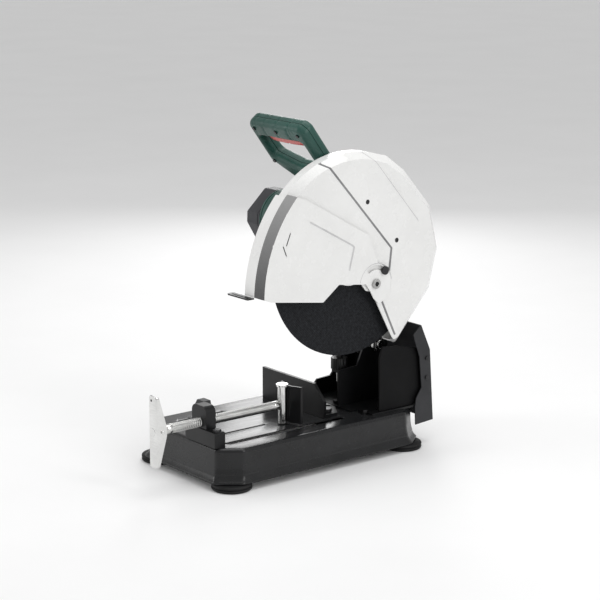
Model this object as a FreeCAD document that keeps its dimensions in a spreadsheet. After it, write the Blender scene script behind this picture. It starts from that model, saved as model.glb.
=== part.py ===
import FreeCAD, Part
import Sketcher
import math
import os

# Abrasive chop saw, in millimetres. +Z is up, +Y runs from the operator to the back of the saw and
# +X is the operator's right. The origin is under the middle of the whole saw, where its feet stand.

Vector = FreeCAD.Vector
doc = FreeCAD.newDocument("chop_saw")
sheet = doc.addObject("Spreadsheet::Sheet", "dims")

SIZES = {
    # base tray
    "base_w": 283, "base_l": 479, "base_y": 15, "corner_x": 31.5, "corner_y": 40.4,
    "lip_low": 12.7, "lip_top": 17.5, "flare_z": 28, "wall_z": 44, "shoulder_z": 69, "table_z": 76.2,
    "flare_in": 5.5, "wall_in": 9, "shoulder_in": 10, "rim_in": 15, "sheet_t": 2.5,
    "foot_r": 37, "foot_x": 110, "foot_dy": 202, "foot_step": 7, "foot_bolt_r": 4, "foot_head_r": 8,
    # wheel and arbor
    "disc_x": 85, "disc_y": 101.3, "disc_z": 373.8, "disc_r": 177.5, "disc_t": 3, "arbor_r": 12.7,
    "flange_r": 46, "flange_t": 6, "running_gap": 0.06,
    # head pivot and column
    "pivot_y": 215, "pivot_z": 190, "pivot_r": 8, "hub_r": 24,
    "cheek_left": -60, "cheek_right": 35, "cheek_t": 4, "wall_x": 108, "wall_t": 4,
    "column_front": 121, "column_back": 243, "plate_t": 4,
    # rear cover
    "cover_x": 119, "cover_t": 2,
    # motor and gears
    "motor_y": 73.3, "motor_z": 433.8, "motor_r": 55, "motor_wall": 3, "case_left": 20, "case_right": 62,
    "motor_left": -75, "cap_left": -120, "gear_x": 40, "gear_w": 16, "gear_m": 2.5,
    # guards
    "guard_left": 71, "guard_right": 105, "guard_r": 202.5, "guard_bevel": 13, "guard_t": 2.5,
    "swing_y": 149.7, "swing_z": 327.2, "shield_r": 273, "shield_left": 67, "shield_right": 108,
    "shield_t": 2, "shield_bevel": 13, "shield_hub_r": 39,
    # vise
    "screw_x": 50, "screw_z": 114, "screw_r": 9, "screw_front": -295, "jaw_y": -26, "jaw_pin_r": 8,
    "block_front": -216, "block_depth": 23, "block_top": 104,
    # fence
    "fence_y": 55, "fence_t": 6, "fence_left": -115, "fence_right": 72, "fence_top": 138,
    "fence_pin_x": 55, "fence_pin_y": 77,
    # handle: a D lying in a plane that slopes down to the back
    "grip_y": 25.3, "grip_z": 617.8, "handle_tilt": 53, "handle_left": -98,
    "handle_half": 16,
}


class Dim:
    """A length with the sheet expression that gives it, so that both stay together."""

    def __init__(self, text, value):
        self.text = text
        self.value = value

    def __add__(self, other):
        return joined(self, "+", other)

    def __radd__(self, other):
        return joined(other, "+", self)

    def __sub__(self, other):
        return joined(self, "-", other)

    def __rsub__(self, other):
        return joined(other, "-", self)

    def __mul__(self, other):
        return joined(self, "*", other)

    def __rmul__(self, other):
        return joined(other, "*", self)

    def __truediv__(self, other):
        return joined(self, "/", other)

    def __neg__(self):
        return joined(0, "-", self)


def dim(value):
    if isinstance(value, Dim):
        return value
    return Dim("(%.6f)" % value, float(value))


def joined(left, sign, right):
    left = dim(left)
    right = dim(right)
    results = {
        "+": left.value + right.value,
        "-": left.value - right.value,
        "*": left.value * right.value,
        "/": left.value / right.value if right.value else 0.0,
    }
    return Dim("(%s %s %s)" % (left.text, sign, right.text), results[sign])


class Sizes:
    """Attribute access to the sheet's aliases as Dim values."""

    def __init__(self, sizes):
        for row, (name, value) in enumerate(sizes.items(), 1):
            sheet.set("A%d" % row, name)
            sheet.set("B%d" % row, str(value))
            sheet.setAlias("B%d" % row, name)
            setattr(self, name, Dim("dims." + name, float(value)))


d = Sizes(SIZES)
doc.recompute()
NODES = {}


def bind(obj, prop, value):
    obj.setExpression(prop, dim(value).text)


def place(obj, x, y, z):
    for axis, value in zip("xyz", (x, y, z)):
        bind(obj, "Placement.Base." + axis, value)


def node(name, obj):
    """Registers a finished sub-part under the name that its file gets."""
    obj.Label = name
    NODES[name] = obj
    return obj


def box(name, low, high):
    obj = doc.addObject("Part::Box", name)
    for prop, a, b in zip(("Length", "Width", "Height"), low, high):
        bind(obj, prop, dim(b) - a)
    place(obj, *low)
    return obj


TURNS = {
    "x": FreeCAD.Rotation(Vector(0, 1, 0), 90),
    "y": FreeCAD.Rotation(Vector(1, 0, 0), -90),
    "z": FreeCAD.Rotation(),
}


def rod(name, axis, start, length, r, r2=None, sides=None):
    """A cylinder, cone or hexagon that starts at a point and runs along +X, +Y or +Z."""
    if sides:
        obj = doc.addObject("Part::Prism", name)
        obj.Polygon = sides
        bind(obj, "Circumradius", r)
    elif r2 is None:
        obj = doc.addObject("Part::Cylinder", name)
        bind(obj, "Radius", r)
    else:
        obj = doc.addObject("Part::Cone", name)
        bind(obj, "Radius1", r)
        bind(obj, "Radius2", r2)
    bind(obj, "Height", length)
    obj.Placement = FreeCAD.Placement(Vector(), TURNS[axis])
    place(obj, *start)
    return obj


def fuse(name, *shapes):
    obj = doc.addObject("Part::MultiFuse", name)
    obj.Shapes = list(shapes)
    return obj


def group(name, *shapes):
    """Separate solids that share one node, such as a set of equal screws."""
    obj = doc.addObject("Part::Compound", name)
    obj.Links = list(shapes)
    return obj


def cut(name, base, *tools):
    obj = doc.addObject("Part::Cut", name)
    obj.Base = base
    obj.Tool = tools[0] if len(tools) == 1 else fuse(name + "_tools", *tools)
    return obj


def common(name, first, second):
    obj = doc.addObject("Part::Common", name)
    obj.Base = first
    obj.Tool = second
    return obj


def ring(name, axis, start, length, r_out, r_in):
    outer = rod(name + "_outer", axis, start, length, r_out)
    bore_start = list(start)
    index = "xyz".index(axis)
    bore_start[index] = dim(start[index]) - 1
    inner = rod(name + "_bore", axis, bore_start, dim(length) + 2, r_in)
    return cut(name, outer, inner)


def plane_of(body, role):
    return next(f for f in body.Origin.OriginFeatures if f.Role == role)


def outline_sketch(body, name, role, level, points):
    """A closed polygon on an origin plane of the body; every corner is bound to the sheet."""
    sketch = body.newObject("Sketcher::SketchObject", name)
    sketch.AttachmentSupport = [(plane_of(body, role), "")]
    sketch.MapMode = "FlatFace"
    bind(sketch, "AttachmentOffset.Base.z", level)
    flat = [Vector(dim(u).value, dim(v).value, 0) for u, v in points]
    count = len(flat)
    lines = [Part.LineSegment(flat[i], flat[(i + 1) % count]) for i in range(count)]
    sketch.addGeometry(lines, False)
    for i in range(count):
        sketch.addConstraint(Sketcher.Constraint("Coincident", i, 2, (i + 1) % count, 1))
    for i, pair in enumerate(points):
        for kind, value in zip(("DistanceX", "DistanceY"), pair):
            index = sketch.addConstraint(Sketcher.Constraint(kind, -1, 1, i, 1, dim(value).value))
            bind(sketch, "Constraints[%d]" % index, value)
    return sketch


def plate(name, role, level, thickness, points):
    """A flat plate: a polygon on YZ_Plane (level is X), XY_Plane (level is Z) or XZ_Plane (level is -Y)."""
    body = doc.addObject("PartDesign::Body", name)
    sketch = outline_sketch(body, name + "_outline", role, level, points)
    pad = body.newObject("PartDesign::Pad", name + "_pad")
    pad.Profile = sketch
    bind(pad, "Length", thickness)
    body.Tip = pad
    return body


def edges_where(shape, test):
    return [i for i, edge in enumerate(shape.Edges, 1) if test(edge)]


def rounded(name, base, radius, test):
    """Fillets the edges that pass the test."""
    doc.recompute()
    obj = doc.addObject("Part::Fillet", name)
    obj.Base = base
    obj.Edges = [(i, dim(radius).value, dim(radius).value) for i in edges_where(base.Shape, test)]
    return obj


def runs_along(edge, axis):
    if edge.Curve.TypeId != "Part::GeomLine":
        return False
    return abs(abs(getattr(edge.Curve.Direction, axis)) - 1) < 1e-6


def octagon(inset):
    """The tray's outline with its corners cut off, at an inset from the lip, about the base centre."""
    x = d.base_w / 2 - inset
    y = d.base_l / 2 - inset
    cx = d.corner_x - inset * 0.3
    cy = d.corner_y - inset * 0.3
    signs = [(1, -1, 0), (1, -1, 1), (1, 1, 1), (1, 1, 0), (-1, 1, 0), (-1, 1, 1), (-1, -1, 1), (-1, -1, 0)]
    points = []
    for sx, sy, side in signs:
        px = x if side else x - cx
        py = y - cy if side else y
        points.append((sx * px, d.base_y + sy * py))
    return points


def build_tray():
    body = doc.addObject("PartDesign::Body", "tray_shell")
    levels = [
        (d.lip_low, 0), (d.lip_top, 0), (d.flare_z, d.flare_in), (d.wall_z, d.wall_in),
        (d.shoulder_z, d.shoulder_in), (d.table_z, d.rim_in),
    ]
    outer = []
    for i, (z, inset) in enumerate(levels):
        outer.append(outline_sketch(body, "tray_outer_%d" % i, "XY_Plane", z, octagon(dim(inset))))
    loft = body.newObject("PartDesign::AdditiveLoft", "tray_outside")
    loft.Profile = outer[0]
    loft.Sections = outer[1:]
    loft.Ruled = True
    inner = []
    for i, (z, inset) in enumerate(levels):
        low = d.lip_low - 1 if i == 0 else (z - d.sheet_t if i == len(levels) - 1 else z)
        inner.append(outline_sketch(body, "tray_inner_%d" % i, "XY_Plane", low, octagon(inset + d.sheet_t)))
    hollow = body.newObject("PartDesign::SubtractiveLoft", "tray_inside")
    hollow.Profile = inner[0]
    hollow.Sections = inner[1:]
    hollow.Ruled = True
    body.Tip = hollow
    low = d.table_z - d.sheet_t - 2
    high = d.table_z + 2
    tools = [
        box("wheel_slot", (d.disc_x - 7, d.base_y - 196, low), (d.disc_x + 7, d.base_y + 76, high)),
        box("jaw_slot", (d.screw_x - 22, d.base_y - 174, low), (d.screw_x - 17, d.base_y - 66, high)),
    ]
    for i in range(3):
        start = d.base_y - 180 + 38 * i
        tools.append(box("fence_slot_%d" % i, (-89, start, low), (-83, start + 27, high)))
    for i, (x, y) in enumerate(column_bolt_places() + vise_bolt_places()):
        tools.append(rod("tray_hole_%d" % i, "z", (x, y, low), 8, 4.3))
    for i, (x, y) in enumerate([(d.fence_pin_x, d.fence_pin_y), clamp_place()]):
        tools.append(rod("tray_fence_hole_%d" % i, "z", (x, y, low), 8, 4.3))
    node("base_tray", cut("base_tray", body, *tools))


def column_bolt_places():
    """Two bolts under each side of the column and one in front of the spark wall."""
    front = d.base_y + 120
    rows = [d.cheek_left + 22, d.cheek_right - 22]
    return [(x, y) for x in rows for y in (front, d.base_y + 214)] + [(d.disc_x + 10, front)]


def vise_bolt_places():
    y = d.block_front + d.block_depth / 2
    return [(18, y), (91, y)]


def clamp_place():
    """The fence's clamp bolt stands 40 mm from its pivot bolt."""
    return (d.fence_pin_x - 39.4, d.fence_pin_y - 7)


def corners():
    return [(sx, sy) for sx in (-1, 1) for sy in (-1, 1)]


def build_feet():
    names = {(-1, -1): "front_left", (1, -1): "front_right", (-1, 1): "rear_left", (1, 1): "rear_right"}
    feet = []
    plates = []
    screws = []
    for sx, sy in corners():
        x = sx * d.foot_x
        y = d.base_y + sy * d.foot_dy
        tag = names[(sx, sy)]
        pad_low = rod("foot_pad_" + tag, "z", (x, y, 0), d.foot_step, d.foot_r)
        pad_top = rod("foot_top_" + tag, "z", (x, y, d.foot_step), d.lip_low - d.foot_step, d.foot_r - 3.5)
        boss = rod("foot_boss_" + tag, "z", (x, y, d.lip_low - 1), 8, 15)
        hole = rod("foot_hole_" + tag, "z", (x, y, -1), 30, d.foot_bolt_r + 0.1)
        recess = rod("foot_recess_" + tag, "z", (x, y, -1), 6, d.foot_head_r + 1)
        body = fuse("foot_body_" + tag, pad_low, pad_top, boss)
        feet.append(cut("foot_" + tag, body, hole, recess))
        plate_z = d.lip_low + 7
        points = [(86, 176), (136, 176), (136, 196), (108, 232), (86, 232)]
        outline = [(dim(sx * px), d.base_y + sy * py) for px, py in points]
        blank = plate("corner_blank_" + tag, "XY_Plane", plate_z, 2.5, outline)
        plate_hole = rod("corner_hole_" + tag, "z", (x, y, plate_z - 1), 6, d.foot_bolt_r + 0.1)
        plates.append(cut("corner_plate_" + tag, blank, plate_hole))
        head = rod("foot_screw_head_" + tag, "z", (x, y, 2), 3, d.foot_head_r)
        shank = rod("foot_screw_shank_" + tag, "z", (x, y, 5), plate_z + 2.5 - 5 + 6, d.foot_bolt_r)
        nut = rod("foot_nut_" + tag, "z", (x, y, plate_z + 2.5), 5, 7, sides=6)
        screws.append(fuse("foot_screw_" + tag, head, shank, nut))
    node("rubber_feet", group("rubber_feet", *feet))
    node("corner_plates", group("corner_plates", *plates))
    node("foot_screws", group("foot_screws", *screws))


def hex_bolt(name, axis, seat, shank, r, head_r, head_h, side=1):
    """A hexagon bolt: the head stands on the seat, the shank runs the other way."""
    index = "xyz".index(axis)
    head_at = list(seat)
    shank_at = list(seat)
    if side > 0:
        shank_at[index] = dim(seat[index]) - shank
    else:
        head_at[index] = dim(seat[index]) - head_h
    head = rod(name + "_head", axis, head_at, head_h, head_r, sides=6)
    body = rod(name + "_shank", axis, shank_at, shank, r)
    return fuse(name, head, body)


def build_column():
    base_z = d.table_z
    foot = box("column_foot", (d.cheek_left - 4, d.column_front, base_z),
               (d.disc_x - 12, d.column_back, base_z + d.plate_t))
    wing = box("column_wing", (d.disc_x - 13, d.column_front + 16, base_z),
               (d.wall_x + d.wall_t + 4, d.column_back, base_z + d.plate_t))
    front = d.column_front
    cheek = [
        (front, base_z + 1), (front, 150), (front + 46, 153), (d.pivot_y - 22, d.pivot_z + 20),
        (d.pivot_y + 20, d.pivot_z + 22), (d.column_back, d.pivot_z - 6), (d.column_back, base_z + 1),
    ]
    low_cheek = [
        (front + 16, base_z + 1), (front + 16, 104), (front + 23, 111), (front + 56, 113), (front + 63, 121),
        (front + 63, 180), *cheek[3:],
    ]
    left = plate("cheek_left_plate", "YZ_Plane", d.cheek_left, d.cheek_t, low_cheek)
    right = plate("cheek_right_plate", "YZ_Plane", d.cheek_right - d.cheek_t, d.cheek_t, cheek)
    shelf = box("stop_shelf", (0, front + 12, 140), (d.cheek_right - 2, front + 42, 145))
    back = box("column_back_web", (d.cheek_left + 2, d.column_back - 5, base_z + 2),
               (d.cheek_right - 2, d.column_back - 1, 150))
    body = fuse("column_body", foot, wing, left, right, shelf, back)
    tools = [
        rod("pivot_hole", "x", (d.cheek_left - 10, d.pivot_y, d.pivot_z), 120, d.pivot_r),
        rod("stop_hole", "z", (8, front + 24, 130), 20, 5.06),
        rod("lock_hole", "x", (d.cheek_left - 5, d.pivot_y - 22, d.pivot_z - 20), 12, 4.06),
    ]
    for i, (x, y) in enumerate(column_bolt_places()):
        tools.append(rod("column_hole_%d" % i, "z", (x, y, base_z - 2), 10, 4.3))
    node("column", cut("column", body, *tools))
    bolts = []
    for i, (x, y) in enumerate(column_bolt_places()):
        bolts.append(hex_bolt("column_bolt_%d" % i, "z", (x, y, base_z + d.plate_t), 14, 4, 7, 5))
    node("column_bolts", group("column_bolts", *bolts))


def from_base(*pairs):
    """Points in a plane of constant X, with Y counted from the base's middle."""
    return [(d.base_y + y, z) for y, z in pairs]


def build_covers():
    low = d.table_z + d.plate_t
    wall = from_base(
        (142, low), (142, 184), (149, 205), (190, 201), (234, 190), (260, 178), (262, 120), (246, 90),
        (228, low),
    )
    wall_plate = plate("spark_wall_plate", "YZ_Plane", d.wall_x, d.wall_t, wall)
    wall_foot = box("spark_wall_foot", (d.wall_x - 14, d.base_y + 146, low),
                    (d.wall_x + 2, d.base_y + 206, low + 3))
    node("spark_wall", fuse("spark_wall", wall_plate, wall_foot))
    upper = [(272, 44), (262, 184), (239, 235), (220, 218), (223, 208), (236, 173), (242, 112)]
    right_flange = from_base(*upper, (229, 93), (226, 76), (228, 41))
    left_flange = from_base(*upper, (236, 93), (233, 76), (233, 42))
    t = d.cover_t
    right = plate("cover_right", "YZ_Plane", d.cover_x - t, t, right_flange)
    left = plate("cover_left", "YZ_Plane", d.cheek_left - 10, t, left_flange)
    skin = from_base((239, 235), (262, 184), (272, 44), (272 - t, 44), (262 - t, 183.5), (239 - 1.8, 234))
    back = plate("cover_back", "YZ_Plane", d.cheek_left - 10, d.cover_x - d.cheek_left + 10, skin)
    body = fuse("cover_body", right, left, back)
    screw_at = from_base((254, 168), (254, 130))
    holes = [rod("cover_hole_%d" % i, "x", (100, y, z), 30, 2.6) for i, (y, z) in enumerate(screw_at)]
    node("rear_cover", cut("rear_cover", body, *holes))
    screws = []
    for i, (y, z) in enumerate(screw_at):
        screws.append(hex_bolt("cover_screw_%d" % i, "x", (d.cover_x, y, z), 4.8, 2.5, 4.5, 2.5))
    node("rear_cover_screws", group("rear_cover_screws", *screws))


def build_pivot():
    x0 = d.cheek_left - 14
    shaft = rod("pivot_bar", "x", (x0, d.pivot_y, d.pivot_z), d.cheek_right + 14 - x0, d.pivot_r)
    head = rod("pivot_head", "x", (x0, d.pivot_y, d.pivot_z), 9, 15, sides=6)
    node("pivot_shaft", fuse("pivot_shaft", shaft, head))
    nut = rod("pivot_nut_hex", "x", (d.cheek_right + 2, d.pivot_y, d.pivot_z), 10, 14, sides=6)
    washer = rod("pivot_washer", "x", (d.cheek_right, d.pivot_y, d.pivot_z), 2, 15)
    bore = rod("pivot_nut_bore", "x", (d.cheek_right - 1, d.pivot_y, d.pivot_z), 20, d.pivot_r)
    node("pivot_nut", cut("pivot_nut", fuse("pivot_nut_body", nut, washer), bore))
    pitch = 3.2
    coil = Part.makeHelix(pitch, 5 * pitch, 12.5)
    wire_r = 1.4
    section = Part.Wire([Part.makeCircle(wire_r, Vector(12.5, 0, 0), Vector(0, 1, 0))])
    spring = doc.addObject("Part::Feature", "return_spring")
    spring.Shape = Part.Wire(coil.Edges).makePipeShell([section], True, True)
    start = Vector(12.7, d.pivot_y.value, d.pivot_z.value)
    spring.Placement = FreeCAD.Placement(start, FreeCAD.Rotation(Vector(0, 1, 0), 90))
    node("return_spring", spring)


def build_stop():
    x = dim(8)
    y = d.column_front + 24
    grip = rod("stop_grip", "z", (x, y, 145.5), 22, 16)
    flats = []
    for i in range(10):
        angle = 2 * math.pi * i / 10
        at = (x + 18 * math.cos(angle), y + 18 * math.sin(angle), 144)
        flats.append(rod("stop_flute_%d" % i, "z", at, 26, 3.2))
    tip = rod("stop_tip", "z", (x, y, 167.5), 7, 6)
    knob = cut("stop_knob_body", grip, *flats)
    node("stop_knob", fuse("stop_knob", knob, tip))
    node("stop_stud", rod("stop_stud", "z", (x, y, 120), 25.5, 5))


def build_vise():
    y0 = d.block_front
    y1 = y0 + d.block_depth
    lower = box("vise_lower", (10, y0, d.table_z), (100, y1, d.block_top))
    saddle = box("vise_saddle", (d.screw_x - 22, y0 + 2, d.block_top - 2), (d.screw_x + 22, y1, 146))
    saddle_top = rounded("vise_saddle_round", saddle, 13,
                         lambda e: runs_along(e, "y") and e.BoundBox.ZMin > 140)
    lower_top = rounded("vise_lower_round", lower, 4,
                        lambda e: runs_along(e, "y") and e.BoundBox.ZMin > 100)
    body = fuse("vise_body", lower_top, saddle_top)
    tools = [
        rod("vise_bore", "y", (d.screw_x, y0 - 5, d.screw_z), 40, d.screw_r + d.running_gap),
        rod("lever_pin_hole", "y", (18, y1 - 6.5, 94), 20, 4),
    ]
    for i, (x, y) in enumerate(vise_bolt_places()):
        tools.append(rod("vise_hole_%d" % i, "z", (x, y, d.table_z - 1), 60, 4.3))
    node("vise_block", cut("vise_block", body, *tools))
    bolts = []
    for i, (x, y) in enumerate(vise_bolt_places()):
        shank = d.block_top - d.table_z + 12
        bolts.append(hex_bolt("vise_bolt_%d" % i, "z", (x, y, d.block_top), shank, 4, 7.5, 5))
    node("vise_bolts", group("vise_bolts", *bolts))
    pin = rod("lever_pin_bar", "y", (18, y1 - 6.5, 94), 26.5, 4)
    pin_head = rod("lever_pin_head", "y", (18, y1 + 17, 94), 3, 7)
    node("lever_pin", fuse("lever_pin", pin, pin_head))
    hub = rod("lever_hub", "y", (18, y1 + 0.5, 94), 16, 14)
    web = [(8, 96), (30, 96), (39, 130), (34, 145), (14, 145), (5, 132)]
    tab = plate("lever_tab", "XZ_Plane", -(y1 + 16.5), 16, [(dim(u), dim(v)) for u, v in web])
    bore = rod("lever_bore", "y", (18, y1 - 5, 94), 40, 4 + d.running_gap)
    node("nut_lever", cut("nut_lever", fuse("lever_body", hub, tab), bore))


def build_jaw():
    pin = rod("jaw_pin_bar", "z", (d.screw_x, d.jaw_y, 79), 70, d.jaw_pin_r)
    cap = rod("jaw_pin_cap", "z", (d.screw_x, d.jaw_y, 149), 4, 11)
    seat = rod("jaw_pin_seat", "y", (d.screw_x, d.jaw_y - 20, d.screw_z), 40, 4 + d.running_gap)
    node("jaw_pin", cut("jaw_pin", fuse("jaw_pin_body", pin, cap), seat))
    y = d.jaw_y
    vee = [
        (d.screw_x - 30, y + 20), (d.screw_x - 9, y + 11), (d.screw_x + 9, y + 11), (d.screw_x + 30, y + 20),
        (d.screw_x + 30, y + 25), (d.screw_x + 8, y + 15.6), (d.screw_x - 8, y + 15.6),
        (d.screw_x - 30, y + 25),
    ]
    face = plate("jaw_face", "XY_Plane", 79, 69.6, vee)
    spine = box("jaw_spine", (d.screw_x - 6, y + d.jaw_pin_r + 0.3, 80), (d.screw_x + 6, y + 12, 148))
    node("jaw_plate", fuse("jaw_plate", face, spine))
    y0 = d.screw_front
    bar = rod("screw_bar", "y", (d.screw_x, y0, d.screw_z), d.jaw_y - d.jaw_pin_r - 0.4 - y0, d.screw_r)
    nose = rod("screw_nose", "y", (d.screw_x, d.jaw_y - 10, d.screw_z), 16, 4)
    hub = rod("screw_hub", "y", (d.screw_x, y0 - 17.4, d.screw_z), 18, 9.4)
    hub_hole = rod("screw_hub_hole", "x", (d.screw_x - 20, y0 - 6, d.screw_z), 40, 3)
    node("vise_screw", cut("vise_screw", fuse("screw_body", bar, nose, hub), hub_hole))
    build_vise_handle()


def build_vise_handle():
    y0 = d.screw_front - 20
    web = box("handle_web", (d.screw_x - 10, y0, d.screw_z - 65), (d.screw_x + 10, y0 + 2.5, d.screw_z + 65))
    wing = [
        (y0, d.screw_z - 65), (y0 + 6, d.screw_z - 65), (y0 + 23, d.screw_z - 8), (y0 + 23, d.screw_z + 8),
        (y0 + 6, d.screw_z + 65), (y0, d.screw_z + 65),
    ]
    left = plate("handle_wing_left", "YZ_Plane", d.screw_x - 12.1, 2.5, wing)
    right = plate("handle_wing_right", "YZ_Plane", d.screw_x + 9.6, 2.5, wing)
    body = fuse("vise_handle_body", web, left, right)
    tools = [
        rod("handle_pin_hole", "x", (d.screw_x - 20, y0 + 14, d.screw_z), 40, 3),
        rod("handle_hang_hole", "y", (d.screw_x - 4, y0 - 5, d.screw_z + 57), 12, 2.5),
    ]
    node("vise_handle", cut("vise_handle", body, *tools))
    pin = rod("handle_pin_bar", "x", (d.screw_x - 15, y0 + 14, d.screw_z), 30, 3)
    head = rod("handle_pin_head", "x", (d.screw_x - 15, y0 + 14, d.screw_z), 2.8, 5)
    node("handle_pin", fuse("handle_pin", pin, head))


def build_fence():
    z = d.table_z + 0.3
    y = d.fence_y
    face = [
        (d.fence_left, z), (d.fence_right, z), (d.fence_right, 108), (d.fence_right - 30, d.fence_top),
        (d.fence_left, d.fence_top),
    ]
    face_plate = plate("fence_face", "XZ_Plane", -(y + d.fence_t), d.fence_t, face)
    foot = [
        (dim(-62), y + 2), (d.fence_right, y + 2), (d.fence_right, y + 33), (dim(38), y + 56),
        (dim(0), y + 60),
        (dim(-62), y + 38),
    ]
    foot_plate = plate("fence_foot", "XY_Plane", z, 6, foot)
    pin = (d.fence_pin_x, d.fence_pin_y)
    slot = ring("fence_arc_ring", "z", (pin[0], pin[1], z - 2), 12, 44.5, 35.5)
    reach = [(dim(4), pin[1] - 12), (dim(22), pin[1] - 12), (dim(36), pin[1] + 30), (dim(16), pin[1] + 34)]
    sector = plate("fence_arc_sector", "XY_Plane", z - 1.5, 9, reach)
    tools = [
        rod("fence_pin_hole", "z", (pin[0], pin[1], z - 2), 12, 5.06),
        common("fence_arc", slot, sector),
    ]
    node("fence", cut("fence", fuse("fence_body", face_plate, foot_plate), *tools))
    top = z + 6.3
    pivot = fuse("fence_pivot_body",
                 rod("fence_pivot_head", "z", (pin[0], pin[1], top), 6, 9, sides=6),
                 rod("fence_pivot_bar", "z", (pin[0], pin[1], d.table_z), 10, 5),
                 rod("fence_pivot_thread", "z", (pin[0], pin[1], d.table_z - 12), 14, 4.2))
    node("fence_pivot_bolt", pivot)
    at = clamp_place()
    clamp = fuse("fence_clamp_body",
                 rod("fence_clamp_head", "z", (at[0], at[1], top + 2), 7, 7.5, sides=6),
                 rod("fence_clamp_washer", "z", (at[0], at[1], top), 2, 8.2),
                 rod("fence_clamp_bar", "z", (at[0], at[1], d.table_z - 12), 22, 4.2))
    node("fence_clamp_bolt", clamp)


def from_disc(*pairs):
    """Points in the wheel's plane, from offsets to the wheel's centre."""
    return [(d.disc_y + y, d.disc_z + z) for y, z in pairs]


def case_solid(name, start, length, shrink):
    """The gear case: two round ends about the wheel and motor axes, a bridge, and the handle's seat."""
    wheel = rod(name + "_wheel", "x", (start, d.disc_y, d.disc_z), length, 65 - shrink)
    motor = rod(name + "_motor", "x", (start, d.motor_y, d.motor_z), length, d.motor_r + 1 - shrink)
    bridge = from_disc((58 - shrink, 20), (30 - shrink, 84), (-50, 20 + shrink), (-40, 0), (0, -30))
    side = plate(name + "_bridge", "YZ_Plane", start, length, bridge)
    return fuse(name, wheel, motor, side)


def build_casting():
    shell = case_solid("case_outer", d.case_left, d.case_right - d.case_left, 0)
    seat = from_disc((-17.5, 136), (24.5, 80.5), (58, 22), (-10, 40), (-50, 100))
    seat_block = plate("handle_seat", "YZ_Plane", d.case_left, d.case_right - d.case_left - 4, seat)
    hub = rod("arm_hub", "x", (d.cheek_left + 7, d.pivot_y, d.pivot_z), 64, d.hub_r)
    arm = from_disc((96, -203), (137, -186), (78, 0), (25, 25), (-30, -20), (-42, -40), (84, -180))
    beam = plate("arm_beam", "YZ_Plane", -36, 57, arm)
    body = fuse("casting_body", shell, seat_block, hub, beam)
    hollow = case_solid("case_inner", d.case_left + 6, d.case_right - d.case_left, 5)
    tools = [
        hollow,
        rod("hub_bore", "x", (d.cheek_left, d.pivot_y, d.pivot_z), 90, d.pivot_r + 3),
        rod("spring_room", "x", (11, d.pivot_y, d.pivot_z), 20, 16),
        rod("arbor_seat", "x", (d.case_left - 1, d.disc_y, d.disc_z), 12, 16),
        rod("motor_seat", "x", (d.case_left - 1, d.motor_y, d.motor_z), 12, 16),
        rod("lock_seat", "z", (40, d.disc_y - 20, d.disc_z - 75), 30, 6.06),
    ]
    node("arm_casting", cut("arm_casting", body, *tools))
    bush_at = (d.cheek_left + 7, d.pivot_y, d.pivot_z)
    node("pivot_bush", ring("pivot_bush", "x", bush_at, 64, d.pivot_r + 3, d.pivot_r + d.running_gap))
    cover_at = d.case_right
    lid = case_solid("gear_lid", cover_at, 4, 0)
    neck = rod("gear_lid_neck", "x", (cover_at, d.disc_y, d.disc_z), d.guard_left - cover_at, 26)
    lid_bore = rod("gear_lid_bore", "x", (cover_at - 1, d.disc_y, d.disc_z), 20, 18)
    node("gear_cover", cut("gear_cover", fuse("gear_cover_body", lid, neck), lid_bore))
    screws = []
    for i, (y, z) in enumerate(((46, -46), (-46, -46), (-78, 82), (0, 110))):
        at = (cover_at + 4, d.disc_y + y * 0.95, d.disc_z + z * 0.95)
        screws.append(rod("gear_cover_screw_%d" % i, "x", at, 3, 4))
    node("gear_cover_screws", group("gear_cover_screws", *screws))


def cap_outline(scale):
    """Ten corners about the motor's axis, at a scale; large facets in front and behind, small ones below."""
    half = [(12, 53), (54.5, 13.5), (55, -7), (33, -43.5), (14, -53.5)]
    around = half + [(-y, z) for y, z in reversed(half)]
    return [(d.motor_y + scale * y, d.motor_z + scale * z) for y, z in around]


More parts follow.
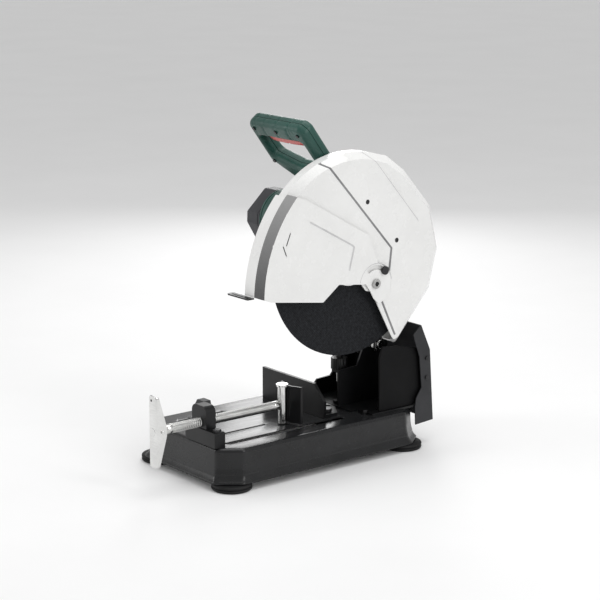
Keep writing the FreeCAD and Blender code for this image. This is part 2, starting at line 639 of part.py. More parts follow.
def build_motor():
    axis = (d.motor_y, d.motor_z)
    length = d.case_left - d.motor_left
    shell = rod("motor_shell", "x", (d.motor_left, *axis), length, d.motor_r)
    hollow = rod("motor_hollow", "x", (d.motor_left - 1, *axis), length - 5, d.motor_r - d.motor_wall)
    bore = rod("motor_bore", "x", (d.motor_left, *axis), length + 5, 15.9)
    node("motor_housing", cut("motor_housing", shell, hollow, bore))
    end = d.cap_left + 6
    cap = fuse("cap_body",
               plate("cap_drum", "YZ_Plane", end, d.motor_left - end, cap_outline(1)),
               plate("cap_end", "YZ_Plane", d.cap_left, 6, cap_outline(0.85)))
    inside = fuse("cap_inside",
                  rod("cap_hollow", "x", (end + 1, *axis), d.motor_left - end, 43),
                  rod("cap_end_hollow", "x", (d.cap_left + 3, *axis), 5, 36))
    seat = ring("cap_bearing_seat", "x", (d.cap_left + 2, *axis), 12, 15, 11)
    gland_hole = rod("cap_gland_hole", "y", (d.motor_left - 10, d.motor_y + 30, d.motor_z), 40, 6)
    shell_cap = cut("cap_shell", cap, inside, gland_hole)
    node("motor_end_cap", fuse("motor_end_cap", shell_cap, seat))
    gland = fuse("gland_body",
                 rod("gland_flange", "y", (d.motor_left - 10, d.motor_y + 55, d.motor_z), 3, 11),
                 rod("gland_boot", "y", (d.motor_left - 10, d.motor_y + 58, d.motor_z), 24, 9, 6))
    gland_bore = rod("gland_bore", "y", (d.motor_left - 10, d.motor_y + 50, d.motor_z), 40, 4)
    node("cord_gland", cut("cord_gland", gland, gland_bore))
    node("stator", ring("stator", "x", (-52, *axis), 52, d.motor_r - d.motor_wall, 35.5))
    node("armature_core", ring("armature_core", "x", (-48, *axis), 44, 34.5, 6))
    node("commutator", ring("commutator", "x", (-84, *axis), 22, 17, 6))
    fan_hub = ring("fan_hub", "x", (1, *axis), 8, 14, 6)
    blades = []
    for i in range(9):
        blade = doc.addObject("Part::Box", "fan_blade_%d" % i)
        bind(blade, "Length", 7)
        bind(blade, "Width", 32)
        bind(blade, "Height", 2)
        blade.Placement = FreeCAD.Placement(Vector(), FreeCAD.Rotation(Vector(1, 0, 0), 40 * i))
        angle = math.radians(40 * i)
        place(blade, 1.5, d.motor_y + 12 * math.cos(angle), d.motor_z + 12 * math.sin(angle))
        blades.append(blade)
    node("cooling_fan", fuse("cooling_fan", fan_hub, *blades))
    shaft_left = d.cap_left + 5
    shaft_length = d.gear_x + d.gear_w - shaft_left
    node("armature_shaft", rod("armature_shaft", "x", (shaft_left, *axis), shaft_length, 6))
    rear = ring("armature_bearing_rear", "x", (d.cap_left + 6, *axis), 8, 11, 6)
    front = ring("armature_bearing_front", "x", (d.case_left - 4, *axis), 10, 15.9, 6)
    node("armature_bearings", group("armature_bearings", rear, front))
    brushes = []
    for side in (-1, 1):
        z = d.motor_z + side * 17.4
        low = z if side > 0 else z - 24
        x = d.motor_left + 2
        corner = (x + 4, d.motor_y + 3, low + 24)
        brushes.append(box("brush_%d" % (side + 1), (x - 4, d.motor_y - 3, low), corner))
    node("carbon_brushes", group("carbon_brushes", *brushes))


def gear_points(teeth, module, phase, backlash):
    """A closed outline of involute teeth about the origin, thinned by the backlash."""
    pitch = module * teeth / 2
    base = pitch * math.cos(math.radians(20))
    tip = pitch + 0.9 * module
    root = pitch - 1.2 * module

    def involute(r):
        return math.sqrt((r / base) ** 2 - 1) - math.acos(base / r)

    half = math.pi / (2 * teeth) - backlash / (2 * pitch) + involute(pitch)
    start = max(base * 1.001, root)
    radii = [start + (tip - start) * i / 4 for i in range(5)]
    flank = [(root, half - involute(start))] if root < start else []
    flank += [(r, half - involute(r)) for r in radii]
    points = []
    for tooth in range(teeth):
        centre = phase + 2 * math.pi * tooth / teeth
        turned = [(r, centre - a) for r, a in flank] + [(r, centre + a) for r, a in reversed(flank)]
        points += [Vector(0, r * math.cos(a), r * math.sin(a)) for r, a in turned]
    return points + points[:1]


def gear(name, teeth, phase, y, z, bore):
    """A spur gear of the sheet's module, cut as an involute outline."""
    outline = gear_points(teeth, d.gear_m.value, phase, 0.35)
    blank = Part.Face(Part.makePolygon(outline)).extrude(Vector(d.gear_w.value, 0, 0))
    hole = Part.makeCylinder(bore, d.gear_w.value + 2, Vector(-1, 0, 0), Vector(1, 0, 0))
    feature = doc.addObject("Part::Feature", name)
    feature.Shape = blank.cut(hole)
    feature.Placement = FreeCAD.Placement(Vector(d.gear_x.value, y.value, z.value), FreeCAD.Rotation())
    return node(name, feature)


def build_gears():
    """The pinion's first tooth and a gap of the driven gear lie on the line of centres."""
    line = math.atan2((d.motor_z - d.disc_z).value, (d.motor_y - d.disc_y).value)
    gear("pinion", 10, line + math.pi, d.motor_y, d.motor_z, 6)
    gear("driven_gear", 43, line + math.pi / 43, d.disc_y, d.disc_z, d.arbor_r.value)


def build_arbor():
    axis = (d.disc_y, d.disc_z)
    front = d.disc_x - d.disc_t / 2
    bar = rod("arbor_bar", "x", (d.case_left + 1, *axis), d.disc_x + 6 - d.case_left, d.arbor_r)
    thread_hole = rod("arbor_thread", "x", (d.disc_x - 12, *axis), 40, 5)
    node("arbor_shaft", cut("arbor_shaft", bar, thread_hole))
    for name, x in (("inner_flange", front - d.flange_t), ("outer_flange", front + d.disc_t)):
        node(name, ring(name, "x", (x, *axis), d.flange_t, d.flange_r, d.arbor_r))
    node("abrasive_disc", ring("abrasive_disc", "x", (front, *axis), d.disc_t, d.disc_r, d.arbor_r))
    seat = front + d.disc_t + d.flange_t
    washer = rod("arbor_washer", "x", (seat + 0.5, *axis), 2, 18)
    head = rod("arbor_bolt_head", "x", (seat + 2.5, *axis), 6, 10, sides=6)
    shank = rod("arbor_bolt_shank", "x", (d.disc_x - 11, *axis), seat + 4 - d.disc_x + 11, 4.95)
    node("arbor_bolt", fuse("arbor_bolt", washer, head, shank))
    left = ring("arbor_bearing_left", "x", (d.case_left + 1, *axis), 9, 16, d.arbor_r)
    right = ring("arbor_bearing_right", "x", (d.case_right + 1, *axis), 6.5, 18, d.arbor_r)
    node("arbor_bearings", group("arbor_bearings", left, right))


def build_fixed_guard():
    left = d.guard_left
    right = d.guard_right
    t = d.guard_t

    def solid(name, x0, x1, shrink):
        r = d.guard_r - shrink
        bevel_x = x1 - d.guard_bevel
        round_part = fuse(name + "_round",
                          rod(name + "_drum", "x", (x0, d.disc_y, d.disc_z), bevel_x - x0, r),
                          rod(name + "_cone", "x", (bevel_x, d.disc_y, d.disc_z), d.guard_bevel, r,
                              r - d.guard_bevel))
        front = plate(name + "_front", "YZ_Plane", x0 - 1, x1 - x0 + 2, from_disc(
            (-180, 88), (-300, 160), (-300, 320), (62, 320), (62, -40), (25, -60), (-30, 14)))
        arc_part = common(name + "_arc", round_part, front)
        s = dim(shrink)
        back = [
            (20, 150), (60 - s * 0.3, 195.5 - s), (84 - s * 0.4, 187.5 - s), (127 - s * 0.8, 157 - s * 0.6),
            (192 - s * 0.9, 84 - s * 0.3), (207 - s, 27), (213.5 - s, -2), (194.5 - s, -77),
            (110 - s * 0.7, -172 + s), (98 - s * 0.2, -166 + s), (42.7 + s, -62.5 + s), (20, -45),
        ]
        inner_back = [
            (20, 140), (60, 180), (78, 174), (117, 147), (179, 81), (194, 25), (200, -2), (182, -73),
            (109, -160), (100, -160), (42.7, -62.5), (20, -45),
        ]
        lower = plate(name + "_back", "YZ_Plane", x0, x1 - d.guard_bevel - x0, from_disc(*back))
        upper = plate(name + "_face", "YZ_Plane", bevel_x - 1, d.guard_bevel + 1, from_disc(*inner_back))
        return arc_part, lower, upper

    outer = fuse("guard_outside", *solid("guard_out", left, right, 0))
    inner = fuse("guard_inside", *solid("guard_in", left + t, right - t, t.value))
    tools = [
        inner,
        rod("guard_arbor_hole", "x", (left - 2, d.disc_y, d.disc_z), t + 4, 19),
        rod("guard_pivot_hole", "x", (right - 10, d.swing_y, d.swing_z), 20, 5),
        rod("guard_slot_hole", "x", (right - 10, d.swing_y + 20.3, d.swing_z + 22.9), 20, 4),
        plate("guard_mouth_front", "YZ_Plane", left + t, right - left - 2 * t, from_disc(
            (-185, 96), (-150, 40), (-30, 20), (25, -55), (-60, -110), (-230, -60))),
        plate("guard_mouth_low", "YZ_Plane", left + t, right - left - 2 * t, from_disc(
            (14, -36), (50, -55), (103, -160), (60, -190), (-20, -90))),
    ]
    for i, at in enumerate(from_disc(*GUARD_SCREWS)):
        tools.append(rod("guard_screw_hole_%d" % i, "x", (right - 5, *at), 8, 4.55))
    node("fixed_guard", cut("fixed_guard", outer, *tools))


GUARD_SCREWS = ((29.4, 108.6), (101, 28.8))


def build_guards():
    build_fixed_guard()
    right = d.guard_right
    screws = []
    for i, at in enumerate(from_disc(*GUARD_SCREWS)):
        head = rod("guard_screw_head_%d" % i, "x", (right - 2.5, *at), 2.3, 4.5)
        shank = rod("guard_screw_shank_%d" % i, "x", (right - 10, *at), 8, 2.5)
        screws.append(fuse("guard_screw_%d" % i, head, shank))
    pivot = fuse("guard_pivot_body",
                 rod("guard_pivot_bar", "x", (right - 9, d.swing_y, d.swing_z), 12.4, 5),
                 rod("guard_pivot_cap", "x", (d.shield_right + 0.4, d.swing_y, d.swing_z), 3.6, 9))
    node("guard_pivot_screw", pivot)
    slot_at = (d.swing_y + 20.3, d.swing_z + 22.9)
    slot_screw = fuse("guard_slot_body",
                      rod("guard_slot_bar", "x", (right - 9, *slot_at), 12.4, 4),
                      rod("guard_slot_cap", "x", (d.shield_right + 0.4, *slot_at), 3.6, 8))
    node("guard_screws", group("guard_screws", slot_screw, *screws))
    build_shield()


def build_shield():
    """The swinging guard: its rim is an arc about its own pivot, so it sweeps clear of the fixed one."""
    y, z = d.swing_y, d.swing_z
    r = d.shield_r
    t = d.shield_t
    bevel = d.shield_bevel
    left = d.shield_left
    right = d.shield_right

    def drum(name, inset, x0, x1):
        return fuse(name,
                    rod(name + "_rim", "x", (x0, y, z), x1 - bevel - x0, r - inset),
                    rod(name + "_bevel", "x", (x1 - bevel, y, z), bevel, r - inset, r - inset - bevel))

    inside = drum("shield_in", t.value, left - 1, right - t)
    skin = cut("shield_skin", drum("shield_out", 0, left, right), inside)
    span = from_disc((-165, 148.5), (-500, 300), (-500, -36.9), (-219, -36.9), (-197, -47.3), (-77.3, -64.3),
                     (-39.9, -36.5), (25.1, -44.9), (48, -46), (29.9, 47.5), (-116.5, 129.2), (-136.4, 134.3))
    window = plate("shield_window", "YZ_Plane", left - 2, right - left + 4, span)
    panel = common("shield_panel", skin, window)
    hub_disc = rod("shield_hub_disc", "x", (right - t, y, z), t, d.shield_hub_r)
    hub_trim = plate("shield_hub_trim", "YZ_Plane", right - t - 1, t + 2, from_disc(
        (20, 10), (25.1, -44.9), (36, -60), (43, -73), (52, -90), (100, -90), (100, 10)))
    hub = common("shield_hub", hub_disc, hub_trim)
    slot_ring = ring("shield_slot_ring", "x", (right - 5, y, z), 8, 35.1, 26.1)
    reach = []
    for angle in (40, 75, 112, 135):
        reach.append((y + 60 * math.cos(math.radians(angle)), z + 60 * math.sin(math.radians(angle))))
    sector = plate("shield_slot_sector", "YZ_Plane", right - 6, 9, [(y, z)] + reach)
    tools = [
        common("shield_slot", slot_ring, sector),
        rod("shield_bore", "x", (right - 10, y, z), 20, 5 + d.running_gap),
    ]
    node("moving_guard", cut("moving_guard", fuse("shield_body", panel, hub), *tools))
    tab_top = d.disc_z - 36.9
    tab = box("guard_tab", (left - 36, y - r - 14, tab_top - 3.5), (right - 14, y - r + 1.5, tab_top))
    node("guard_tab", tab)


def tilted(y0, z0):
    """A point of the handle, from its grip: along the D's plane and square to it."""
    angle = math.radians(SIZES["handle_tilt"])
    return (d.grip_y + y0 * math.cos(angle) + z0 * math.sin(angle),
            d.grip_z - y0 * math.sin(angle) + z0 * math.cos(angle))


def handle_half(name, low, high):
    """One half of the D handle: its outline lies in X and along the slope, its depth is square to it."""
    body = doc.addObject("PartDesign::Body", name)
    outer = [
        (-88, -15.5), (53, -15.5), (65, -4), (65, 185), (22, 185), (22, 165), (-30, 140), (-98, 84),
        (-98, -5),
    ]
    inner = [(-81, 22), (42, 22), (44, 84), (14, 92), (-26, 92), (-80, 72)]
    sketch = outline_sketch(body, name + "_outline", "XY_Plane", low, outer)
    pad = body.newObject("PartDesign::Pad", name + "_pad")
    pad.Profile = sketch
    bind(pad, "Length", dim(high) - low)
    hole = outline_sketch(body, name + "_opening", "XY_Plane", dim(low) - 1, inner)
    pocket = body.newObject("PartDesign::Pocket", name + "_pocket")
    pocket.Profile = hole
    pocket.Reversed = True
    bind(pocket, "Length", dim(high) - low + 2)
    well = outline_sketch(body, name + "_well", "XY_Plane", -5.5, [(-72, 12), (34, 12), (34, 30), (-72, 30)])
    well_pocket = body.newObject("PartDesign::Pocket", name + "_well_pocket")
    well_pocket.Profile = well
    well_pocket.Reversed = True
    bind(well_pocket, "Length", 11)
    body.Tip = well_pocket
    doc.recompute()
    edges = []
    outside = max(abs(dim(low).value), abs(dim(high).value))
    for i, edge in enumerate(well_pocket.Shape.Edges, 1):
        box_ = edge.BoundBox
        on_outside = abs(abs(box_.ZMin) - outside) < 0.01 and abs(abs(box_.ZMax) - outside) < 0.01
        if on_outside and box_.YMax < 90:
            edges.append("Edge%d" % i)
    fillet = body.newObject("PartDesign::Fillet", name + "_rounding")
    fillet.Base = (well_pocket, edges)
    fillet.Radius = 7
    body.Tip = fillet
    turn = FreeCAD.Rotation(Vector(1, 0, 0), -SIZES["handle_tilt"])
    body.Placement = FreeCAD.Placement(Vector(0, d.grip_y.value, d.grip_z.value), turn)
    place(body, 0, d.grip_y, d.grip_z)
    return body


def sloped(obj, x, along, up):
    """Places a primitive built in the handle's own axes."""
    y, z = tilted(along, up)
    obj.Placement = FreeCAD.Placement(Vector(), FreeCAD.Rotation(Vector(1, 0, 0), -SIZES["handle_tilt"]))
    place(obj, x, y, z)
    return obj


def build_handle():
    half = d.handle_half
    halves = (("handle_front_shell", -half, dim(0)), ("handle_rear_shell", dim(0.05), half))
    for name, low, high in halves:
        button_well = rod(name + "_button_well", "x", (d.handle_left - 1, *tilted(0, 0)), 11, 6.3)
        node(name, cut(name, handle_half(name + "_moulding", low, high), button_well))
    lever = sloped(box("trigger_bar", (0, 0, 0), (dim(100), dim(24.5), dim(9.6))), -69, 17.5, -4.8)
    node("trigger", lever)
    lock = rod("lock_button", "x", (d.handle_left - 4, *tilted(0, 0)), 10, 6)
    node("lock_button", lock)
    screws = []
    for i, (x, along) in enumerate(((-82, 1), (-17, 1), (47, 1), (-83, 82))):
        y, z = tilted(along, -18.6)
        screw = doc.addObject("Part::Cylinder", "handle_screw_%d" % i)
        bind(screw, "Radius", 3.5)
        bind(screw, "Height", 2.5)
        turn = FreeCAD.Rotation(Vector(1, 0, 0), -SIZES["handle_tilt"])
        screw.Placement = FreeCAD.Placement(Vector(), turn)
        place(screw, x, y, z)
        screws.append(screw)
    node("handle_screws", group("handle_screws", *screws))


def build_small_controls():
    lock = fuse("spindle_lock",
                rod("spindle_lock_bar", "z", (dim(40), d.disc_y - 20, d.disc_z - 74), 15, 6),
                rod("spindle_lock_head", "z", (dim(40), d.disc_y - 20, d.disc_z - 80), 6, 9))
    node("spindle_lock", lock)
    y = d.pivot_y - 22
    z = d.pivot_z - 20
    pin = fuse("lock_pin",
               rod("lock_pin_bar", "x", (d.cheek_left - 22, y, z), 24, 4),
               rod("lock_pin_head", "x", (d.cheek_left - 30, y, z), 9, 9))
    node("lock_pin", pin)


build_tray()
build_feet()
build_column()
build_covers()
build_pivot()
build_stop()
build_vise()
build_jaw()
build_fence()
build_casting()
build_motor()
build_gears()
build_arbor()
build_guards()
build_handle()
build_small_controls()

doc.recompute()
faults = [o.Name + " " + str(o.State) for o in doc.Objects if "Invalid" in o.State or "Error" in o.State]
for name, obj in NODES.items():
    if obj.Shape.isNull() or not obj.Shape.isValid() or not obj.Shape.Solids:
        faults.append(name + " has no valid solid")
if faults:
    raise SystemExit("\n".join(faults))
os.makedirs("parts", exist_ok=True)
for name, obj in NODES.items():
    obj.Shape.exportStep("parts/" + name + ".step")
    print(name, len(obj.Shape.Solids), round(obj.Shape.Volume))
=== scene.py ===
import math
from contextlib import contextmanager

import bmesh
import bpy
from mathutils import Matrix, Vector
from mathutils.geometry import delaunay_2d_cdt


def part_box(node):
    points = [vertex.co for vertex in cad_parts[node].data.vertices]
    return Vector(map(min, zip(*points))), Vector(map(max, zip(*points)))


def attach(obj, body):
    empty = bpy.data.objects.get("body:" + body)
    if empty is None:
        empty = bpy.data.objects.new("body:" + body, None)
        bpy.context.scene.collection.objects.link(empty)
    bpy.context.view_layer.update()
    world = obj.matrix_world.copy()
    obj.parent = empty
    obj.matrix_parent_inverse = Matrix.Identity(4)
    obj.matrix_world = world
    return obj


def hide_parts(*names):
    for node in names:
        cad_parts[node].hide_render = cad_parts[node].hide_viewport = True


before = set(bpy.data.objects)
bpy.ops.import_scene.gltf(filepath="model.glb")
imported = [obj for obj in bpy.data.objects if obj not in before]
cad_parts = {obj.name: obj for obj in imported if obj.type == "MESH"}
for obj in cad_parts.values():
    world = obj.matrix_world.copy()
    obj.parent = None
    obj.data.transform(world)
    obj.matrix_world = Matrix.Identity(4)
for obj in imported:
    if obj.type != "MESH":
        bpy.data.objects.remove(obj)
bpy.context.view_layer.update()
MM = 0.001
WELD = 0.01 * MM


# ---- places, in millimetres

def span(node):
    """Lowest and highest corner of a CAD node, in millimetres."""
    low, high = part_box(node)
    return low / MM, high / MM


def middle(node):
    """Middle of a CAD node's box, in millimetres."""
    low, high = span(node)
    return (low + high) / 2


DISC = middle("abrasive_disc")
MOTOR = middle("armature_shaft")
SWING = middle("guard_pivot_screw")
SCREW = middle("vise_screw")


# ---- plane geometry

def arc(centre, radius, first, last, step=3.0):
    """Points of an arc, its angles in degrees, both ends included."""
    count = max(2, int(abs(last - first) / step) + 1)
    points = []
    for i in range(count + 1):
        angle = math.radians(first + (last - first) * i / count)
        points.append((centre[0] + radius * math.cos(angle), centre[1] + radius * math.sin(angle)))
    return points


def round_corners(points, radius, steps=5, closed=True):
    """Replaces each corner with a short arc; radius is a number or one number per corner."""
    radii = [radius] * len(points) if isinstance(radius, (int, float)) else radius
    out = []
    count = len(points)
    for i, corner in enumerate(points):
        if not closed and i in (0, count - 1):
            out.append(tuple(corner))
            continue
        here = Vector(corner)
        before = Vector(points[i - 1]) - here
        after = Vector(points[(i + 1) % count]) - here
        half = before.angle(after) / 2
        r = radii[i]
        if r <= 0 or half > math.radians(89):
            out.append(tuple(corner))
            continue
        reach = min(r / math.tan(half), 0.45 * min(before.length, after.length))
        a = here + before.normalized() * reach
        b = here + after.normalized() * reach
        for k in range(steps + 1):
            t = k / steps
            out.append(tuple(a * (1 - t) ** 2 + here * 2 * t * (1 - t) + b * t ** 2))
    return out


def resample(points, step, closed=True):
    """Adds points so that no side is longer than step."""
    out = []
    count = len(points)
    for i in range(count if closed else count - 1):
        a = Vector(points[i])
        b = Vector(points[(i + 1) % count])
        parts = max(1, math.ceil((b - a).length / step))
        out += [tuple(a.lerp(b, k / parts)) for k in range(parts)]
    if not closed:
        out.append(tuple(points[-1]))
    return out


def open_line(points, radius, steps, step):
    """An open line with its corners rounded and its sides divided."""
    return resample(round_corners(points, radius, steps, closed=False), step, closed=False)


def shifted(points, distance, closed=True):
    """The outline moved to its left by a distance, mitred at its corners."""
    out = []
    count = len(points)
    for i in range(count):
        here = Vector(points[i])
        a = Vector(points[i - 1]) if closed or i else here
        b = Vector(points[(i + 1) % count]) if closed or i < count - 1 else here
        normals = []
        for p, q in ((a, here), (here, b)):
            if (q - p).length > 1e-6:
                side = (q - p).normalized()
                normals.append(Vector((-side.y, side.x)))
        total = sum(normals, Vector((0, 0))).normalized()
        scale = 1 / max(0.4, total.dot(normals[0]))
        out.append(tuple(here + total * distance * scale))
    return out


def contains(outline, point):
    """Whether a point is inside a closed outline."""
    inside = False
    x, y = point
    j = len(outline) - 1
    for i in range(len(outline)):
        xi, yi = outline[i]
        xj, yj = outline[j]
        if (yi > y) != (yj > y) and x < (xj - xi) * (y - yi) / (yj - yi) + xi:
            inside = not inside
        j = i
    return inside


def from_line(line, point):
    """Signed distance to an open line (positive on its left) and how far along it the nearest point is."""
    best = None
    run = 0.0
    p = Vector(point)
    for a, b in zip(line, line[1:]):
        a = Vector(a)
        b = Vector(b)
        side = b - a
        t = max(0.0, min(1.0, (p - a).dot(side) / side.length_squared))
        near = a + side * t
        gap = (p - near).length
        if best is None or gap < best[0] - 1e-9:
            cross = side.x * (p - a).y - side.y * (p - a).x
            best = (gap, math.copysign(gap, cross), run + t * side.length)
        run += side.length
    return best[1], best[2], run


def ramp(value, low, high):
    """0 up to low, 1 from high, and straight between them."""
    return max(0.0, min(1.0, (value - low) / (high - low)))


def capsule(x, y0, y1, half):
    """A slot along Y with round ends."""
    return arc((x, y1 - half), half, 0, 180, 20) + arc((x, y0 + half), half, 180, 360, 20)


def circle(centre, radius, count):
    """A closed ring of points, the first one not repeated."""
    return arc(centre, radius, 0, 360 - 360 / count, 360 / count)


# ---- mesh building

def add_mesh(name, verts, faces):
    """A new object from corners in millimetres."""
    mesh = bpy.data.meshes.new(name)
    mesh.from_pydata([Vector(v) * MM for v in verts], [], faces)
    mesh.update()
    obj = bpy.data.objects.new(name, mesh)
    bpy.context.collection.objects.link(obj)
    return obj


def ring_faces(rings, count, start=0, closed=True):
    """Four-sided faces between stacked rings (or open rows) of count corners each."""
    faces = []
    for k in range(rings - 1):
        low = start + k * count
        high = low + count
        for i in range(count if closed else count - 1):
            j = (i + 1) % count
            faces.append((low + i, low + j, high + j, high + i))
    return faces


@contextmanager
def edited(obj):
    """An object's mesh open for editing, written back at the end."""
    bm = bmesh.new()
    bm.from_mesh(obj.data)
    yield bm
    bm.to_mesh(obj.data)
    bm.free()


def merge(target, *others):
    """Joins objects' meshes into the first one."""
    with edited(target) as bm:
        for obj in others:
            bm.from_mesh(obj.data)
    for obj in others:
        bpy.data.objects.remove(obj)
    return target


def shade(obj, sharp=32, recalc=True):
    """Smooth shading with sharp edges above an angle, and one consistent side."""
    limit = math.radians(sharp)
    with edited(obj) as bm:
        bmesh.ops.remove_doubles(bm, verts=bm.verts, dist=WELD)
        if recalc:
            bmesh.ops.recalc_face_normals(bm, faces=bm.faces)
        for edge in bm.edges:
            edge.smooth = len(edge.link_faces) == 2 and edge.calc_face_angle(0) < limit
        for face in bm.faces:
            face.smooth = True


def make_oriented(obj, outward):
    """Turns the whole shell so that the face furthest along a direction looks that way."""
    shade(obj)
    with edited(obj) as bm:
        furthest = max(bm.faces, key=lambda f: f.calc_center_median().dot(outward))
        if furthest.normal.dot(outward) < 0:
            bmesh.ops.reverse_faces(bm, faces=bm.faces)


def make_sheet(obj, thickness):
    """Gives a single surface the thickness of its sheet, on its inner side."""
    wall = obj.modifiers.new("sheet", "SOLIDIFY")
    wall.thickness = thickness * MM
    wall.offset = -1


def dress(obj, body, slot, material, *replaced, sharp=32, recalc=True, weighted=True):
    """The last step of every piece: shading, material and body; slot is not used."""
    shade(obj, sharp, recalc)
    if not obj.data.materials:
        obj.data.materials.append(material)
    if weighted:
        normals = obj.modifiers.new("even_shading", "WEIGHTED_NORMAL")
        normals.keep_sharp = True
    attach(obj, body)
    if replaced:
        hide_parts(*replaced)


def tint(obj, materials, choose):
    """Gives each face one of several materials, chosen from its middle (in millimetres) and its normal."""
    obj.data.materials.clear()
    for material in materials:
        obj.data.materials.append(material)
    for polygon in obj.data.polygons:
        polygon.material_index = choose(polygon.center / MM, polygon.normal)


def bevelled(obj, width):
    """Rounds every corner edge; nearly flat faces are joined first."""
    flat_angle = math.radians(0.6)
    corner_angle = math.radians(30)
    with edited(obj) as bm:
        bmesh.ops.remove_doubles(bm, verts=bm.verts, dist=WELD)
        bmesh.ops.recalc_face_normals(bm, faces=bm.faces)
        bmesh.ops.dissolve_limit(bm, angle_limit=flat_angle, verts=bm.verts, edges=bm.edges)
        edges = [e for e in bm.edges if len(e.link_faces) == 2 and e.calc_face_angle(0) > corner_angle]
        bmesh.ops.bevel(bm, geom=edges, offset=width * MM, segments=2, profile=0.5, affect="EDGES",
                        clamp_overlap=True)
    return obj


def softened(node, body, slot, material, width):
    """Stands for a CAD node whose shape is right, with its edges rounded as paint and moulds leave them."""
    obj = bpy.data.objects.new(node + "_finished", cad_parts[node].data.copy())
    bpy.context.collection.objects.link(obj)
    obj.data.materials.clear()
    bevelled(obj, width)
    dress(obj, body, slot, material, node, sharp=50)


def prism(name, outline, low, high, axis="x"):
    """A closed outline pushed along an axis; the outline's plane is YZ, XZ or XY."""
    def at(u, v, w):
        return {"x": (w, u, v), "y": (u, w, v), "z": (u, v, w)}[axis]

    count = len(outline)
    verts = [at(u, v, low) for u, v in outline] + [at(u, v, high) for u, v in outline]
    faces = [tuple(range(count)), tuple(range(2 * count - 1, count - 1, -1))]
    faces += ring_faces(2, count)
    return add_mesh(name, verts, faces)


def lathe(name, profile, centre, axis, count, radius_at=None):
    """Turns a profile of (radius, height) about an axis; radius_at may change the radius at each corner."""
    verts = []
    for r, h in profile:
        for i in range(count):
            angle = 2 * math.pi * i / count
            rr = radius_at(r, h, angle) if radius_at else r
            u = rr * math.cos(angle)
            v = rr * math.sin(angle)
            place = {"x": (h, u, v), "y": (u, h, v), "z": (u, v, h)}[axis]
            verts.append(Vector(centre) + Vector(place))
    last = (len(profile) - 1) * count
    faces = ring_faces(len(profile), count)
    faces += [tuple(range(count)), tuple(range(last + count - 1, last - 1, -1))]
    return add_mesh(name, verts, faces)


def flat_at(x):
    """The height of a flat panel."""
    return lambda u, v: x


def panel(outline, height, creases=(), holes=(), grid=8.0):
    """A pressed panel: corners (x, u, v) and triangles, with x given by height(u, v)."""
    longest_link = 12.0
    row_pitch = 0.87
    points = list(outline)
    count = len(points)
    edges = [(i, (i + 1) % count) for i in range(count)]
    for line in creases:
        kept = [p for p in line if contains(outline, p)]
        start = len(points)
        points += kept
        edges += [(start + i, start + i + 1) for i in range(len(kept) - 1)
                  if (Vector(kept[i]) - Vector(kept[i + 1])).length < longest_link]
    for hole in holes:
        start = len(points)
        points += hole
        edges += [(start + i, start + (i + 1) % len(hole)) for i in range(len(hole))]
    us = [p[0] for p in outline]
    vs = [p[1] for p in outline]
    u = min(us) + grid
    row = 0
    while u < max(us):
        v = min(vs) + grid * (1 + 0.5 * (row % 2))
        while v < max(vs):
            if contains(outline, (u, v)) and not any(contains(h, (u, v)) for h in holes):
                points.append((u, v))
            v += grid
        u += grid * row_pitch
        row += 1
    flat, _, triangles, _, _, _ = delaunay_2d_cdt(
        [Vector(p) for p in points], edges, [list(range(count))], 1, 1e-4)
    kept = []
    for face in triangles:
        centre = sum((flat[i] for i in face), Vector((0, 0))) / len(face)
        if not any(contains(h, centre) for h in holes):
            kept.append(tuple(face))
    return [(height(p.x, p.y), p.x, p.y) for p in flat], kept


# ---- materials

